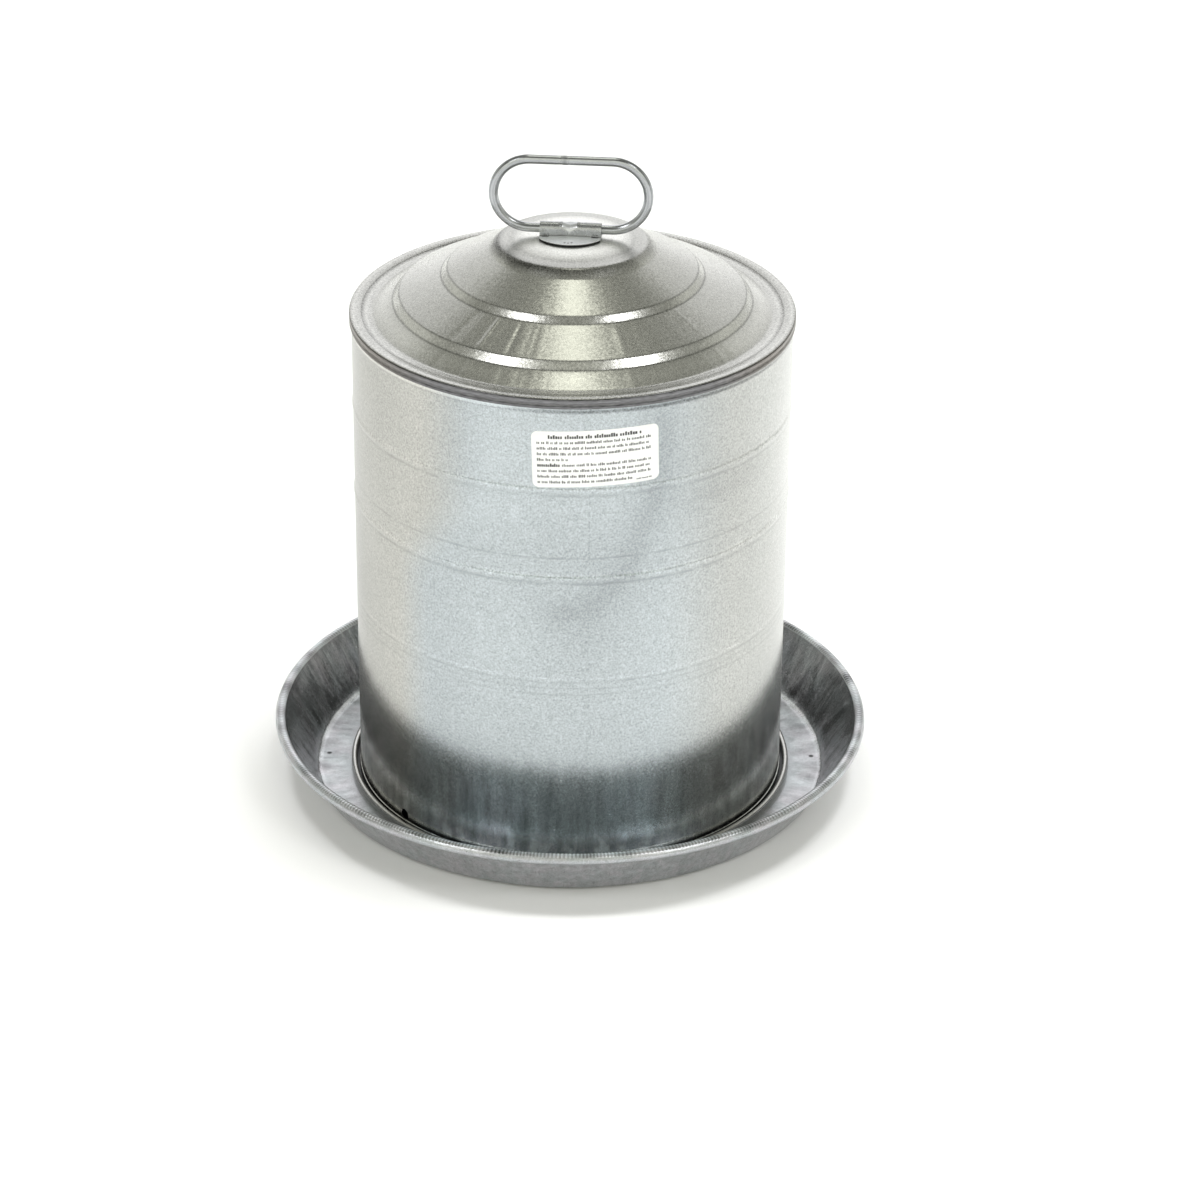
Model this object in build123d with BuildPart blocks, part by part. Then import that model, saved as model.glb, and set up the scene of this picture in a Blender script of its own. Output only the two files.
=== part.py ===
from build123d import *
import os
from math import cos, sin, tan, sqrt, radians, pi, hypot

os.makedirs("parts", exist_ok=True)

# ---------------------------------------------------------------------------
# Driving dimensions, millimetres. Origin: centre of the underside of the pan.
# +Z is up, -Y is the front (the side with the label), +X is to the right.
# ---------------------------------------------------------------------------

# drinking pan
PAN_T = 0.8              # sheet thickness
PAN_CURL_R = 199.4       # radius of the centre of the rolled rim
PAN_CURL_Z = 37.8        # height of the centre of the rolled rim
PAN_CURL_OUT = 3.65      # outer radius of the rolled section
PAN_FLARE = 30.0         # flare of the wall, degrees from vertical
PAN_FOOT_FILLET = 6.0    # bend radius at the foot

# jacket guide ring, an inverted channel soldered to the pan floor
RING_OUT = 151.4
RING_IN = 147.5
RING_TOP = 6.0
RING_T = 0.7

# inner tank
TANK_OUT = 137.0
TANK_T = 0.6
TANK_TOP = 323.0
TANK_CURL_OUT = 1.9
TANK_FLOOR_Z = 3.6       # top of the tank bottom plate
TANK_BEADS = (108.0, 214.0)
SEAL_W = 3.2             # width and height of the solder fillet

# outer jacket
JKT_OUT = 145.0
JKT_T = 0.6
JKT_Z0 = 1.2             # bottom edge at rest
JKT_NECK_Z = 328.2       # the wall bells out above this height
JKT_NECK_R = 145.8
JKT_TOP = 338.2
JKT_FLANGE_R = 139.6     # inner edge of the top flange
JKT_BEADS = (132.8, 212.4, 274.2)
LEVEL_HOLE_R = 4.0
LEVEL_HOLE_Z = 8.5
LEVEL_HOLE_AZ = 49.4     # degrees to the left of the front

# stepped conical lid
LID_T = 0.6
LID_R = 146.4
LID_SKIRT_Z = 332.2
LID_BAND_Z = 339.4
CAP_R = 49.1             # shoulder of the domed cap
CAP_Z = 386.5
DOME_Z = 390.4           # top of the dome
SEAM_FILL = 0.6          # thickness of the seam compound

# lifting handle on the lid
WIRE_R = 3.1
LOOP_H = 47.0            # distance between the two straight bars, centre to centre
LOOP_W = 100.6           # overall width between the wire centres of the ends
HANDLE_Z = 394.5         # height of the swing axis
HANDLE_YAW = -4.0        # the handle stands slightly askew on the lid
HANDLE_X = -1.5          # and a little off its middle
CLIP_T = 1.0
CLIP_W = 40.0
CLIP_ARC_R = 24.3         # the flanges end in shallow arcs
CLIP_REACH = 20.3        # from the wire's axis to the middle of each arc
SLEEVE_IN = 3.4

# carrying bail of the inner tank, hanging inside the tank at rest
BAIL_R = 2.3
BAIL_Z = 329.0           # height of the bail pivots
BAIL_ARCH = 42.0         # depth of the arch
BAIL_GRIP = 62.0         # half width at the grip bends
BAIL_BEND_X = 127.0
EAR_T = 1.2
EAR_HOLE_R = 2.6
EAR_TOP_R = 5.8
RIVET_R = 2.0
RIVET_HEAD_R = 4.0
RIVET_Z = (297.0, 309.0)

# push valve near the base of the tank, on the front
VALVE_Z = 17.5
BUSH_R = 7.0
BUSH_FLANGE_R = 10.5
BUSH_BORE_R = 3.3
GASKET_OUT = 137.8       # distance of the gasket's outer face from the tank axis
BUSH_FACE = 138.8        # outer face of the flange
BUSH_SEAT = 131.0        # inner end of the bush, where the washer seats
STEM_R = 2.0
WING_R = 3.1
BUTTON_R = 6.0
BUTTON_BACK = 141.3
BUTTON_FACE = 143.7
WASHER_FACE = 126.3      # washer face with the valve held open by the jacket
WASHER_T = 2.5
WASHER_R = 6.6
NUT_AF = 20.0
NUT_BACK = 132.2
SPRING_WIRE_R = 0.25
SPRING_MEAN_R = 4.7
SPRING_TURNS = 3

# instruction label
LABEL_W = 80.4           # chord width
LABEL_H = 38.8
LABEL_AZ = 6.6           # degrees to the right of the front
LABEL_Z = 297.9
LABEL_TILT = 1.7
LABEL_T = 0.2


# ---------------------------------------------------------------------------
# Helpers: sheet-metal profiles
# ---------------------------------------------------------------------------

def shifted(pts, t):
    """Corner points of a line parallel to pts, at distance t to its right."""
    out = []
    n = len(pts)
    dirs = []
    for a, b in zip(pts[:-1], pts[1:]):
        d = hypot(b[0] - a[0], b[1] - a[1])
        dirs.append(((b[0] - a[0]) / d, (b[1] - a[1]) / d))
    for i, p in enumerate(pts):
        if i == 0:
            d = dirs[0]
            out.append((p[0] + t * d[1], p[1] - t * d[0]))
        elif i == n - 1:
            d = dirs[-1]
            out.append((p[0] + t * d[1], p[1] - t * d[0]))
        else:
            d0, d1 = dirs[i - 1], dirs[i]
            n0, n1 = (d0[1], -d0[0]), (d1[1], -d1[0])
            k = t / (1 + n0[0] * n1[0] + n0[1] * n1[1])
            out.append((p[0] + k * (n0[0] + n1[0]), p[1] + k * (n0[1] + n1[1])))
    return out


def turns_left(a, b, c):
    return (b[0] - a[0]) * (c[1] - b[1]) - (b[1] - a[1]) * (c[0] - b[0]) > 0


def sheet_profile(pts, radii, t):
    """Closed sheet section: pts is one skin, the other lies at t to its right.
    radii are the bend radii of that first skin, one for each inner corner."""
    other = shifted(pts, t)
    r2 = []
    for i in range(1, len(pts) - 1):
        left = turns_left(pts[i - 1], pts[i], pts[i + 1])
        r2.append(max(radii[i - 1] + (t if left else -t), 0.12))
    a = FilletPolyline(*pts, radius=list(radii))
    b = FilletPolyline(*other, radius=r2)
    Line(pts[0], other[0])
    Line(pts[-1], other[-1])
    return a, b


def bead(z, r, h, half):
    """Four corner points of a shallow swaged bead that stands out by h."""
    return [(r, z - half), (r + h, z - 0.35 * half), (r + h, z + 0.35 * half), (r, z + half)]


# ---------------------------------------------------------------------------
# Drinking pan: flat floor, flared wall, rim rolled outwards
# ---------------------------------------------------------------------------
curl_mid = PAN_CURL_OUT - PAN_T / 2
fl = radians(PAN_FLARE)
# where the wall's middle line runs into the rolled rim
wx = PAN_CURL_R - curl_mid * cos(fl)
wz = PAN_CURL_Z + curl_mid * sin(fl)
foot_r = wx - (wz - PAN_T / 2) * tan(fl)
half_t = PAN_T / 2
wall_out = shifted([(foot_r, PAN_T / 2), (wx, wz)], half_t)
# outer skin of the sheet: floor underside, foot corner, wall up to the rim
k_foot = wall_out[0][0] - wall_out[0][1] * tan(fl)
pan_out = [(0.0, 0.0), (k_foot, 0.0), (wall_out[1][0], wall_out[1][1])]

with BuildPart() as drinking_pan:
    with BuildSketch(Plane.XZ) as pan_sk:
        with BuildLine():
            sheet_profile(pan_out, [PAN_FOOT_FILLET], -PAN_T)
        make_face()
        # rolled rim: an open ring section, closed except for a slot at its inner underside
        with BuildSketch(Plane.XZ, mode=Mode.PRIVATE) as curl_sk:
            with Locations((PAN_CURL_R, PAN_CURL_Z)):
                Circle(PAN_CURL_OUT)
                Circle(PAN_CURL_OUT - PAN_T, mode=Mode.SUBTRACT)
            with BuildLine():
                a0, a1 = radians(180 - PAN_FLARE), radians(218)
                far = 3 * PAN_CURL_OUT
                Polyline((PAN_CURL_R, PAN_CURL_Z),
                         (PAN_CURL_R + far * cos(a0), PAN_CURL_Z + far * sin(a0)),
                         (PAN_CURL_R + far * cos(a1), PAN_CURL_Z + far * sin(a1)),
                         (PAN_CURL_R, PAN_CURL_Z))
            make_face(mode=Mode.SUBTRACT)
        add(curl_sk.sketch)
    revolve(axis=Axis.Z)
drinking_pan.part.label = "drinking_pan"
export_step(drinking_pan.part, "parts/drinking_pan.step")

# ---------------------------------------------------------------------------
# Jacket guide ring: three-sided channel, open downwards, with its crown broken to flats
# ---------------------------------------------------------------------------
crown = [(RING_IN, PAN_T), (RING_IN, RING_TOP - 1.3), (RING_IN + 0.5, RING_TOP - 0.45), (RING_IN + 1.3, RING_TOP),
         (RING_OUT - 1.3, RING_TOP), (RING_OUT - 0.5, RING_TOP - 0.45), (RING_OUT, RING_TOP - 1.3), (RING_OUT, PAN_T)]
with BuildPart() as jacket_guide_ring:
    with BuildSketch(Plane.XZ):
        with BuildLine():
            Polyline(*crown, *reversed(shifted(crown, RING_T)), crown[0])
        make_face()
    revolve(axis=Axis.Z)
jacket_guide_ring.part.label = "jacket_guide_ring"
export_step(jacket_guide_ring.part, "parts/jacket_guide_ring.step")

# ---------------------------------------------------------------------------
# Inner tank: a plain tube with two swaged beads and a rolled top edge
# ---------------------------------------------------------------------------
tank_curl_mid = TANK_CURL_OUT - TANK_T / 2
tank_curl_r = TANK_OUT - TANK_T / 2 + tank_curl_mid
tank_curl_z = TANK_TOP - TANK_CURL_OUT
tank_skin = [(TANK_OUT, PAN_T)]
for zb in TANK_BEADS:
    tank_skin += bead(zb, TANK_OUT, 1.2, 5.0)
tank_skin += [(TANK_OUT, tank_curl_z)]

valve_plane = Plane(origin=(0, 0, VALVE_Z), x_dir=(1, 0, 0), z_dir=(0, -1, 0))
side_plane = Plane(origin=(0, 0, 0), x_dir=(0, 1, 0), z_dir=(1, 0, 0))

with BuildPart() as inner_tank:
    with BuildSketch(Plane.XZ):
        with BuildLine():
            sheet_profile(tank_skin, [3.0] * (len(tank_skin) - 2), -TANK_T)
        make_face()
        with BuildSketch(Plane.XZ, mode=Mode.PRIVATE) as tank_curl_sk:
            with Locations((tank_curl_r, tank_curl_z)):
                Circle(TANK_CURL_OUT)
                Circle(TANK_CURL_OUT - TANK_T, mode=Mode.SUBTRACT)
            with BuildLine():
                Polyline((tank_curl_r, tank_curl_z), (tank_curl_r - 6, tank_curl_z),
                         (tank_curl_r - 6, tank_curl_z - 6), (tank_curl_r - 0.6, tank_curl_z - 6),
                         (tank_curl_r, tank_curl_z))
            make_face(mode=Mode.SUBTRACT)
        add(tank_curl_sk.sketch)
    revolve(axis=Axis.Z)
    # hole for the valve bush
    with BuildSketch(valve_plane.offset(TANK_OUT - 12)):
        Circle(BUSH_R)
    extrude(amount=20, mode=Mode.SUBTRACT)
    # holes for the ear rivets, right through both sides
    with BuildSketch(side_plane.offset(-150)):
        with Locations(*[(0, z) for z in RIVET_Z]):
            Circle(RIVET_R)
    extrude(amount=300, mode=Mode.SUBTRACT)
inner_tank.part.label = "inner_tank"
export_step(inner_tank.part, "parts/inner_tank.step")

# ---------------------------------------------------------------------------
# Tank bottom: a flanged plate turned down onto the pan floor
# ---------------------------------------------------------------------------
tank_in = TANK_OUT - TANK_T
with BuildPart() as tank_bottom:
    with BuildSketch(Plane.XZ):
        with BuildLine():
            b_out = [(0.0, TANK_FLOOR_Z), (tank_in, TANK_FLOOR_Z), (tank_in, PAN_T)]
            b_in = [(0.0, TANK_FLOOR_Z - TANK_T), (tank_in - TANK_T, TANK_FLOOR_Z - TANK_T), (tank_in - TANK_T, PAN_T)]
            FilletPolyline(*b_out, radius=1.2)
            FilletPolyline(*b_in, radius=0.6)
            Line(b_out[0], b_in[0])
            Line(b_out[-1], b_in[-1])
        make_face()
    revolve(axis=Axis.Z)
tank_bottom.part.label = "tank_bottom"
export_step(tank_bottom.part, "parts/tank_bottom.step")

# solder fillet that joins the tank to the pan floor
with BuildPart() as tank_base_seal:
    with BuildSketch(Plane.XZ):
        with BuildLine():
            Polyline((TANK_OUT, PAN_T), (TANK_OUT + SEAL_W, PAN_T), (TANK_OUT + 0.4 * SEAL_W, PAN_T + 0.4 * SEAL_W),
                     (TANK_OUT, PAN_T + SEAL_W), (TANK_OUT, PAN_T))
        make_face()
    revolve(axis=Axis.Z)
tank_base_seal.part.label = "tank_base_seal"
export_step(tank_base_seal.part, "parts/tank_base_seal.step")

# ---------------------------------------------------------------------------
# Ears that carry the bail, curved to the inside of the tank wall
# ---------------------------------------------------------------------------
def ear_outline():
    """Outline of an ear seen along X, as a face in the Y-Z plane."""
    top_half = EAR_TOP_R * 0.985
    Polyline((-9, 290), (9, 290), (9, 312), (top_half, BAIL_Z - 1.0), (top_half, BAIL_Z),
             (-top_half, BAIL_Z), (-top_half, BAIL_Z - 1.0), (-9, 312), (-9, 290))


with BuildPart() as bail_ear_right:
    with BuildSketch(side_plane.offset(120)):
        with BuildLine():
            ear_outline()
        make_face()
        with Locations((0, BAIL_Z)):
            Circle(EAR_TOP_R)
    extrude(amount=30)
    fillet(bail_ear_right.edges().filter_by(Axis.X).group_by(Axis.Z)[0], radius=3)
    # keep the curved band that lies on the tank's inner wall
    with BuildSketch(Plane.XY.offset(280)):
        Circle(tank_in)
        Circle(tank_in - EAR_T, mode=Mode.SUBTRACT)
    extrude(amount=60, mode=Mode.INTERSECT)
    with BuildSketch(side_plane.offset(120)):
        with Locations((0, BAIL_Z)):
            Circle(EAR_HOLE_R)
        with Locations(*[(0, z) for z in RIVET_Z]):
            Circle(RIVET_R)
    extrude(amount=30, mode=Mode.SUBTRACT)
bail_ear_right.part.label = "bail_ear_right"
export_step(bail_ear_right.part, "parts/bail_ear_right.step")

with BuildPart() as bail_ear_left:
    mirror(bail_ear_right.part, about=Plane.YZ)
bail_ear_left.part.label = "bail_ear_left"
export_step(bail_ear_left.part, "parts/bail_ear_left.step")

# rivets: domed heads on both faces, two in each ear
with BuildPart() as rivet_inner_heads:
    for z in RIVET_Z:
        with BuildSketch(Plane(origin=(tank_in - EAR_T - 1.2, 0, z), x_dir=(0, 1, 0), z_dir=(1, 0, 0))):
            Circle(RIVET_HEAD_R)
        extrude(amount=2.4)
    chamfer(rivet_inner_heads.faces().sort_by(Axis.X)[0:2].edges(), length=0.7)
    with BuildSketch(Plane.XY.offset(285)):
        Circle(tank_in - EAR_T)
    extrude(amount=40, mode=Mode.INTERSECT)

with BuildPart() as rivet_outer_heads:
    for z in RIVET_Z:
        with BuildSketch(Plane(origin=(TANK_OUT - 1.2, 0, z), x_dir=(0, 1, 0), z_dir=(1, 0, 0))):
            Circle(RIVET_HEAD_R)
        extrude(amount=2.3)
    chamfer(rivet_outer_heads.faces().sort_by(Axis.X)[-2:].edges(), length=0.6)
    with BuildSketch(Plane.XY.offset(285)):
        Circle(TANK_OUT)
    extrude(amount=40, mode=Mode.SUBTRACT)

with BuildPart() as bail_ear_rivets:
    with BuildSketch(side_plane.offset(tank_in - EAR_T - 0.4)):
        with Locations(*[(0, z) for z in RIVET_Z]):
            Circle(RIVET_R)
    extrude(amount=EAR_T + TANK_T + 0.8)
    add(rivet_inner_heads.part)
    add(rivet_outer_heads.part)
    mirror(about=Plane.YZ)
bail_ear_rivets.part.label = "bail_ear_rivets"
export_step(bail_ear_rivets.part, "parts/bail_ear_rivets.step")

# ---------------------------------------------------------------------------
# Bail: round wire, hooked through the ears and headed outside them
# ---------------------------------------------------------------------------
end_x = tank_in + 1.9
with BuildPart() as tank_bail:
    with BuildLine(Plane.XZ) as bail_path:
        FilletPolyline((end_x, BAIL_Z), (BAIL_BEND_X, BAIL_Z), (BAIL_GRIP, BAIL_Z - BAIL_ARCH),
                       (-BAIL_GRIP, BAIL_Z - BAIL_ARCH), (-BAIL_BEND_X, BAIL_Z), (-end_x, BAIL_Z),
                       radius=[12, 40, 40, 12])
    with BuildSketch(Plane(origin=(end_x, 0, BAIL_Z), x_dir=(0, 1, 0), z_dir=(-1, 0, 0))):
        Circle(BAIL_R)
    sweep(path=bail_path.line)
    # upset heads outside the ears
    with BuildSketch(side_plane.offset(tank_in + 0.5)):
        with Locations((0, BAIL_Z)):
            Circle(3.0)
    extrude(amount=1.4)
    with BuildSketch(side_plane.offset(-tank_in - 0.5)):
        with Locations((0, BAIL_Z)):
            Circle(3.0)
    extrude(amount=-1.4)
tank_bail.part.label = "tank_bail"
export_step(tank_bail.part, "parts/tank_bail.step")

# ---------------------------------------------------------------------------
# Push valve: gasket, flanged bush, lock nut, spring, stem, washer, retainer
# ---------------------------------------------------------------------------
with BuildPart() as valve_bush_gasket:
    with BuildSketch(valve_plane.offset(130)):
        Circle(BUSH_FLANGE_R + 0.4)
        Circle(BUSH_R, mode=Mode.SUBTRACT)
    extrude(amount=GASKET_OUT - 130)
    with BuildSketch(Plane.XY):
        Circle(TANK_OUT)
    extrude(amount=40, mode=Mode.SUBTRACT)
valve_bush_gasket.part.label = "valve_bush_gasket"
export_step(valve_bush_gasket.part, "parts/valve_bush_gasket.step")

with BuildPart() as valve_bush:
    with BuildSketch(valve_plane.offset(BUSH_SEAT)):
        Circle(BUSH_R)
    extrude(amount=BUSH_FACE - BUSH_SEAT)
    with BuildSketch(valve_plane.offset(GASKET_OUT)):
        Circle(BUSH_FLANGE_R)
    extrude(amount=BUSH_FACE - GASKET_OUT)
    with BuildSketch(valve_plane.offset(BUSH_SEAT)):
        Circle(BUSH_BORE_R)
    extrude(amount=BUSH_FACE - BUSH_SEAT, mode=Mode.SUBTRACT)
    # two flats on the flange for a spanner
    with BuildSketch(valve_plane.offset(GASKET_OUT)):
        with Locations((0, 12.4), (0, -12.4)):
            Rectangle(30, 6)
    extrude(amount=BUSH_FACE - GASKET_OUT, mode=Mode.SUBTRACT)
    chamfer(valve_bush.faces().sort_by(Axis.Y)[-1].edges().sort_by(SortBy.LENGTH)[-1], length=0.5)
valve_bush.part.label = "valve_bush"
export_step(valve_bush.part, "parts/valve_bush.step")

with BuildPart() as valve_lock_nut:
    with BuildSketch(valve_plane.offset(NUT_BACK)):
        RegularPolygon(radius=NUT_AF / 2, side_count=6, major_radius=False)
        Circle(BUSH_R, mode=Mode.SUBTRACT)
    extrude(amount=8)
    # face shaped to the inside of the tank wall
    with BuildSketch(Plane.XY):
        Circle(tank_in)
    extrude(amount=40, mode=Mode.INTERSECT)
    chamfer(valve_lock_nut.faces().sort_by(Axis.Y)[-1].outer_wire().edges(), length=0.5)
valve_lock_nut.part.label = "valve_lock_nut"
export_step(valve_lock_nut.part, "parts/valve_lock_nut.step")

# compression spring between the flange and the button, wound tight at rest
spring_len = BUTTON_BACK - BUSH_FACE - 2 * SPRING_WIRE_R
with BuildPart() as valve_spring:
    with BuildLine() as coil:
        Helix(pitch=spring_len / SPRING_TURNS, height=spring_len, radius=SPRING_MEAN_R,
              center=(0, -(BUSH_FACE + SPRING_WIRE_R), VALVE_Z), direction=(0, -1, 0))
    with BuildSketch(Plane(origin=coil.line @ 0, z_dir=coil.line % 0)):
        Circle(SPRING_WIRE_R)
    sweep(path=coil.line, is_frenet=True)
valve_spring.part.label = "valve_spring"
export_step(valve_spring.part, "parts/valve_spring.step")

with BuildPart() as valve_stem:
    # rod
    with BuildSketch(valve_plane.offset(121.6)):
        Circle(STEM_R)
    extrude(amount=BUTTON_BACK + 0.6 - 121.6)
    # three guide wings, with the water passing between them
    with BuildSketch(valve_plane.offset(WASHER_FACE)):
        with PolarLocations(0, 3):
            with Locations((WING_R / 2, 0)):
                Rectangle(WING_R, 1.1)
    extrude(amount=137.0 - WASHER_FACE)
    # domed button
    with BuildSketch(valve_plane.offset(BUTTON_BACK)):
        Circle(BUTTON_R)
    extrude(amount=BUTTON_FACE - BUTTON_BACK)
    fillet(valve_stem.faces().sort_by(Axis.Y)[0].edges(), radius=1.9)
valve_stem.part.label = "valve_stem"
export_step(valve_stem.part, "parts/valve_stem.step")

with BuildPart() as valve_washer:
    with BuildSketch(valve_plane.offset(WASHER_FACE - WASHER_T)):
        Circle(WASHER_R)
        Circle(STEM_R, mode=Mode.SUBTRACT)
    extrude(amount=WASHER_T)
    fillet(valve_washer.faces().sort_by(Axis.Y)[0].outer_wire().edges(), radius=0.5)
valve_washer.part.label = "valve_washer"
export_step(valve_washer.part, "parts/valve_washer.step")

with BuildPart() as valve_retainer:
    with BuildSketch(valve_plane.offset(WASHER_FACE - WASHER_T - 0.8)):
        Circle(WASHER_R - 0.4)
        Circle(STEM_R, mode=Mode.SUBTRACT)
    extrude(amount=0.8)
    with BuildSketch(valve_plane.offset(WASHER_FACE - WASHER_T - 2.0)):
        Circle(3.3)
        Circle(STEM_R, mode=Mode.SUBTRACT)
    extrude(amount=1.2)
valve_retainer.part.label = "valve_retainer"
export_step(valve_retainer.part, "parts/valve_retainer.step")

# ---------------------------------------------------------------------------
# Outer jacket: straight wall, swaged beads, hemmed foot, belled top with flange
# ---------------------------------------------------------------------------
jkt_skin = [(JKT_OUT, JKT_Z0)]
for zb in JKT_BEADS:
    jkt_skin += bead(zb, JKT_OUT, 0.6, 2.7)
jkt_skin += [(JKT_OUT, JKT_NECK_Z), (JKT_NECK_R, LID_SKIRT_Z), (JKT_NECK_R, JKT_TOP), (JKT_FLANGE_R, JKT_TOP)]
jkt_r = [2.0] * (4 * len(JKT_BEADS)) + [3.0, 3.0, 0.8]

with BuildPart() as jacket_shell:
    with BuildSketch(Plane.XZ):
        with BuildLine():
            sheet_profile(jkt_skin, jkt_r, -JKT_T)
        make_face()
        # hem folded outwards at the foot
        with BuildSketch(Plane.XZ, mode=Mode.PRIVATE) as hem:
            with BuildLine():
                Polyline((JKT_OUT - 0.2, JKT_Z0), (JKT_OUT + 0.6, JKT_Z0), (JKT_OUT + 0.6, JKT_Z0 + 3.2),
                         (JKT_OUT - 0.2, JKT_Z0 + 3.2), (JKT_OUT - 0.2, JKT_Z0))
            make_face()
            fillet(hem.vertices().group_by(Axis.X)[-1], radius=0.35)
        add(hem.sketch)
    revolve(axis=Axis.Z)
    # level hole: lets air in under the jacket and sets the water level in the pan
    az = radians(LEVEL_HOLE_AZ)
    out_dir = (-sin(az), -cos(az), 0)
    with BuildSketch(Plane(origin=(out_dir[0] * 140, out_dir[1] * 140, LEVEL_HOLE_Z),
                           x_dir=(0, 0, 1), z_dir=out_dir)):
        Circle(LEVEL_HOLE_R)
    extrude(amount=10, mode=Mode.SUBTRACT)
jacket_shell.part.label = "jacket_shell"
export_step(jacket_shell.part, "parts/jacket_shell.step")

# ---------------------------------------------------------------------------
# Stepped conical lid with a domed cap, its skirt turned down over the jacket
# ---------------------------------------------------------------------------
DOME_R = (CAP_R - 1.2) ** 2 / (2 * (DOME_Z - CAP_Z - 0.35))     # radius of the domed cap
lid_steps = [(54.9, 381.4), (82.3, 367.9), (85.9, 363.6), (113.9, 351.1),
            (117.6, 345.9), (131.0, 338.0), (137.0, 338.0), (138.5, LID_BAND_Z),
            (LID_R, LID_BAND_Z), (LID_R, LID_SKIRT_Z)]
lid_bends = [1.5, 1.5, 1.5, 1.5, 1.5, 2.0, 0.9, 0.9, 1.2]


def dome_z(r):
    return DOME_Z - (DOME_R - sqrt(DOME_R ** 2 - r ** 2))


with BuildPart() as conical_lid:
    with BuildSketch(Plane.XZ):
        with BuildLine():
            # the shoulder is where the dome meets the first riser
            zs = dome_z(CAP_R)
            top_pts = [(CAP_R, zs)] + lid_steps
            low = shifted(top_pts, LID_T)
            r_in = []
            for i in range(1, len(top_pts) - 1):
                left = turns_left(top_pts[i - 1], top_pts[i], top_pts[i + 1])
                r_in.append(max(lid_bends[i - 1] + (LID_T if left else -LID_T), 0.12))
            FilletPolyline(*top_pts, radius=lid_bends)
            # inner skin of the dome: same centre, smaller radius
            low0 = (low[0][0] - 0.02, DOME_Z - DOME_R + sqrt((DOME_R - LID_T) ** 2 - (low[0][0] - 0.02) ** 2))
            FilletPolyline(*([low0] + low[1:]), radius=r_in)
            Line(top_pts[-1], low[-1])
            ThreePointArc((0, DOME_Z), (CAP_R / 2, dome_z(CAP_R / 2)), (CAP_R, zs))
            rm = low0[0] / 2
            ThreePointArc((0, DOME_Z - LID_T), (rm, DOME_Z - DOME_R + sqrt((DOME_R - LID_T) ** 2 - rm ** 2)), low0)
            Line((0, DOME_Z), (0, DOME_Z - LID_T))
        make_face()
    revolve(axis=Axis.Z)
conical_lid.part.label = "conical_lid"
export_step(conical_lid.part, "parts/conical_lid.step")

# sealing compound between the jacket's flange and the lid's band
with BuildPart() as lid_seam_compound:
    with BuildSketch(Plane.XY.offset(JKT_TOP)):
        Circle(JKT_OUT - 0.1)
        Circle(JKT_FLANGE_R + 0.6, mode=Mode.SUBTRACT)
    extrude(amount=SEAM_FILL)
lid_seam_compound.part.label = "lid_seam_compound"
export_step(lid_seam_compound.part, "parts/lid_seam_compound.step")

# ---------------------------------------------------------------------------
# Handle clip: a blank with curved ends folded over the wire, welded to the dome
# ---------------------------------------------------------------------------
yaw = radians(HANDLE_YAW)
along = (cos(yaw), sin(yaw), 0)          # swing axis of the handle
across = (-sin(yaw), cos(yaw), 0)
clip_section = Plane(origin=(HANDLE_X, 0, 0), x_dir=across, z_dir=along)
clip_plan = Plane(origin=(HANDLE_X, 0, 380), x_dir=along, z_dir=(0, 0, 1))
arc_off = CLIP_ARC_R - CLIP_REACH
sleeve_out = SLEEVE_IN + CLIP_T

with BuildPart() as dome_solid:
    with BuildSketch(Plane.XZ):
        with BuildLine():
            ThreePointArc((0, DOME_Z), (22, dome_z(22)), (44, dome_z(44)))
            Polyline((44, dome_z(44)), (44, 370), (0, 370), (0, DOME_Z))
        make_face()
    revolve(axis=Axis.Z)

with BuildPart() as clip_flange:
    with BuildSketch(Plane.XZ):
        with BuildLine():
            ThreePointArc((0, DOME_Z + CLIP_T), (16, dome_z(16) + CLIP_T), (32, dome_z(32) + CLIP_T))
            Polyline((32, dome_z(32) + CLIP_T), (32, 372), (0, 372), (0, DOME_Z + CLIP_T))
        make_face()
    revolve(axis=Axis.Z)
    with BuildSketch(clip_plan.offset(-10)):
        Rectangle(CLIP_W, 60)
        with Locations((0, arc_off)):
            Circle(CLIP_ARC_R, mode=Mode.INTERSECT)
        with Locations((0, -arc_off)):
            Circle(CLIP_ARC_R, mode=Mode.INTERSECT)
        Rectangle(CLIP_W + 2, 2 * SLEEVE_IN, mode=Mode.SUBTRACT)
    extrude(amount=40, mode=Mode.INTERSECT)

with BuildPart() as handle_clip:
    with BuildSketch(clip_section.offset(-CLIP_W / 2)):
        with BuildLine():
            Line((-sleeve_out, DOME_Z - 2), (-sleeve_out, HANDLE_Z))
            RadiusArc((-sleeve_out, HANDLE_Z), (0, HANDLE_Z + sleeve_out), sleeve_out)
            RadiusArc((0, HANDLE_Z + sleeve_out), (sleeve_out, HANDLE_Z), sleeve_out)
            Polyline((sleeve_out, HANDLE_Z), (sleeve_out, DOME_Z - 2), (SLEEVE_IN, DOME_Z - 2), (SLEEVE_IN, HANDLE_Z))
            RadiusArc((SLEEVE_IN, HANDLE_Z), (0, HANDLE_Z + SLEEVE_IN), -SLEEVE_IN)
            RadiusArc((0, HANDLE_Z + SLEEVE_IN), (-SLEEVE_IN, HANDLE_Z), -SLEEVE_IN)
            Polyline((-SLEEVE_IN, HANDLE_Z), (-SLEEVE_IN, DOME_Z - 2), (-sleeve_out, DOME_Z - 2))
        make_face()
    extrude(amount=CLIP_W)
    add(clip_flange.part)
    add(dome_solid.part, mode=Mode.SUBTRACT)
handle_clip.part.label = "handle_clip"
export_step(handle_clip.part, "parts/handle_clip.step")

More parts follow.
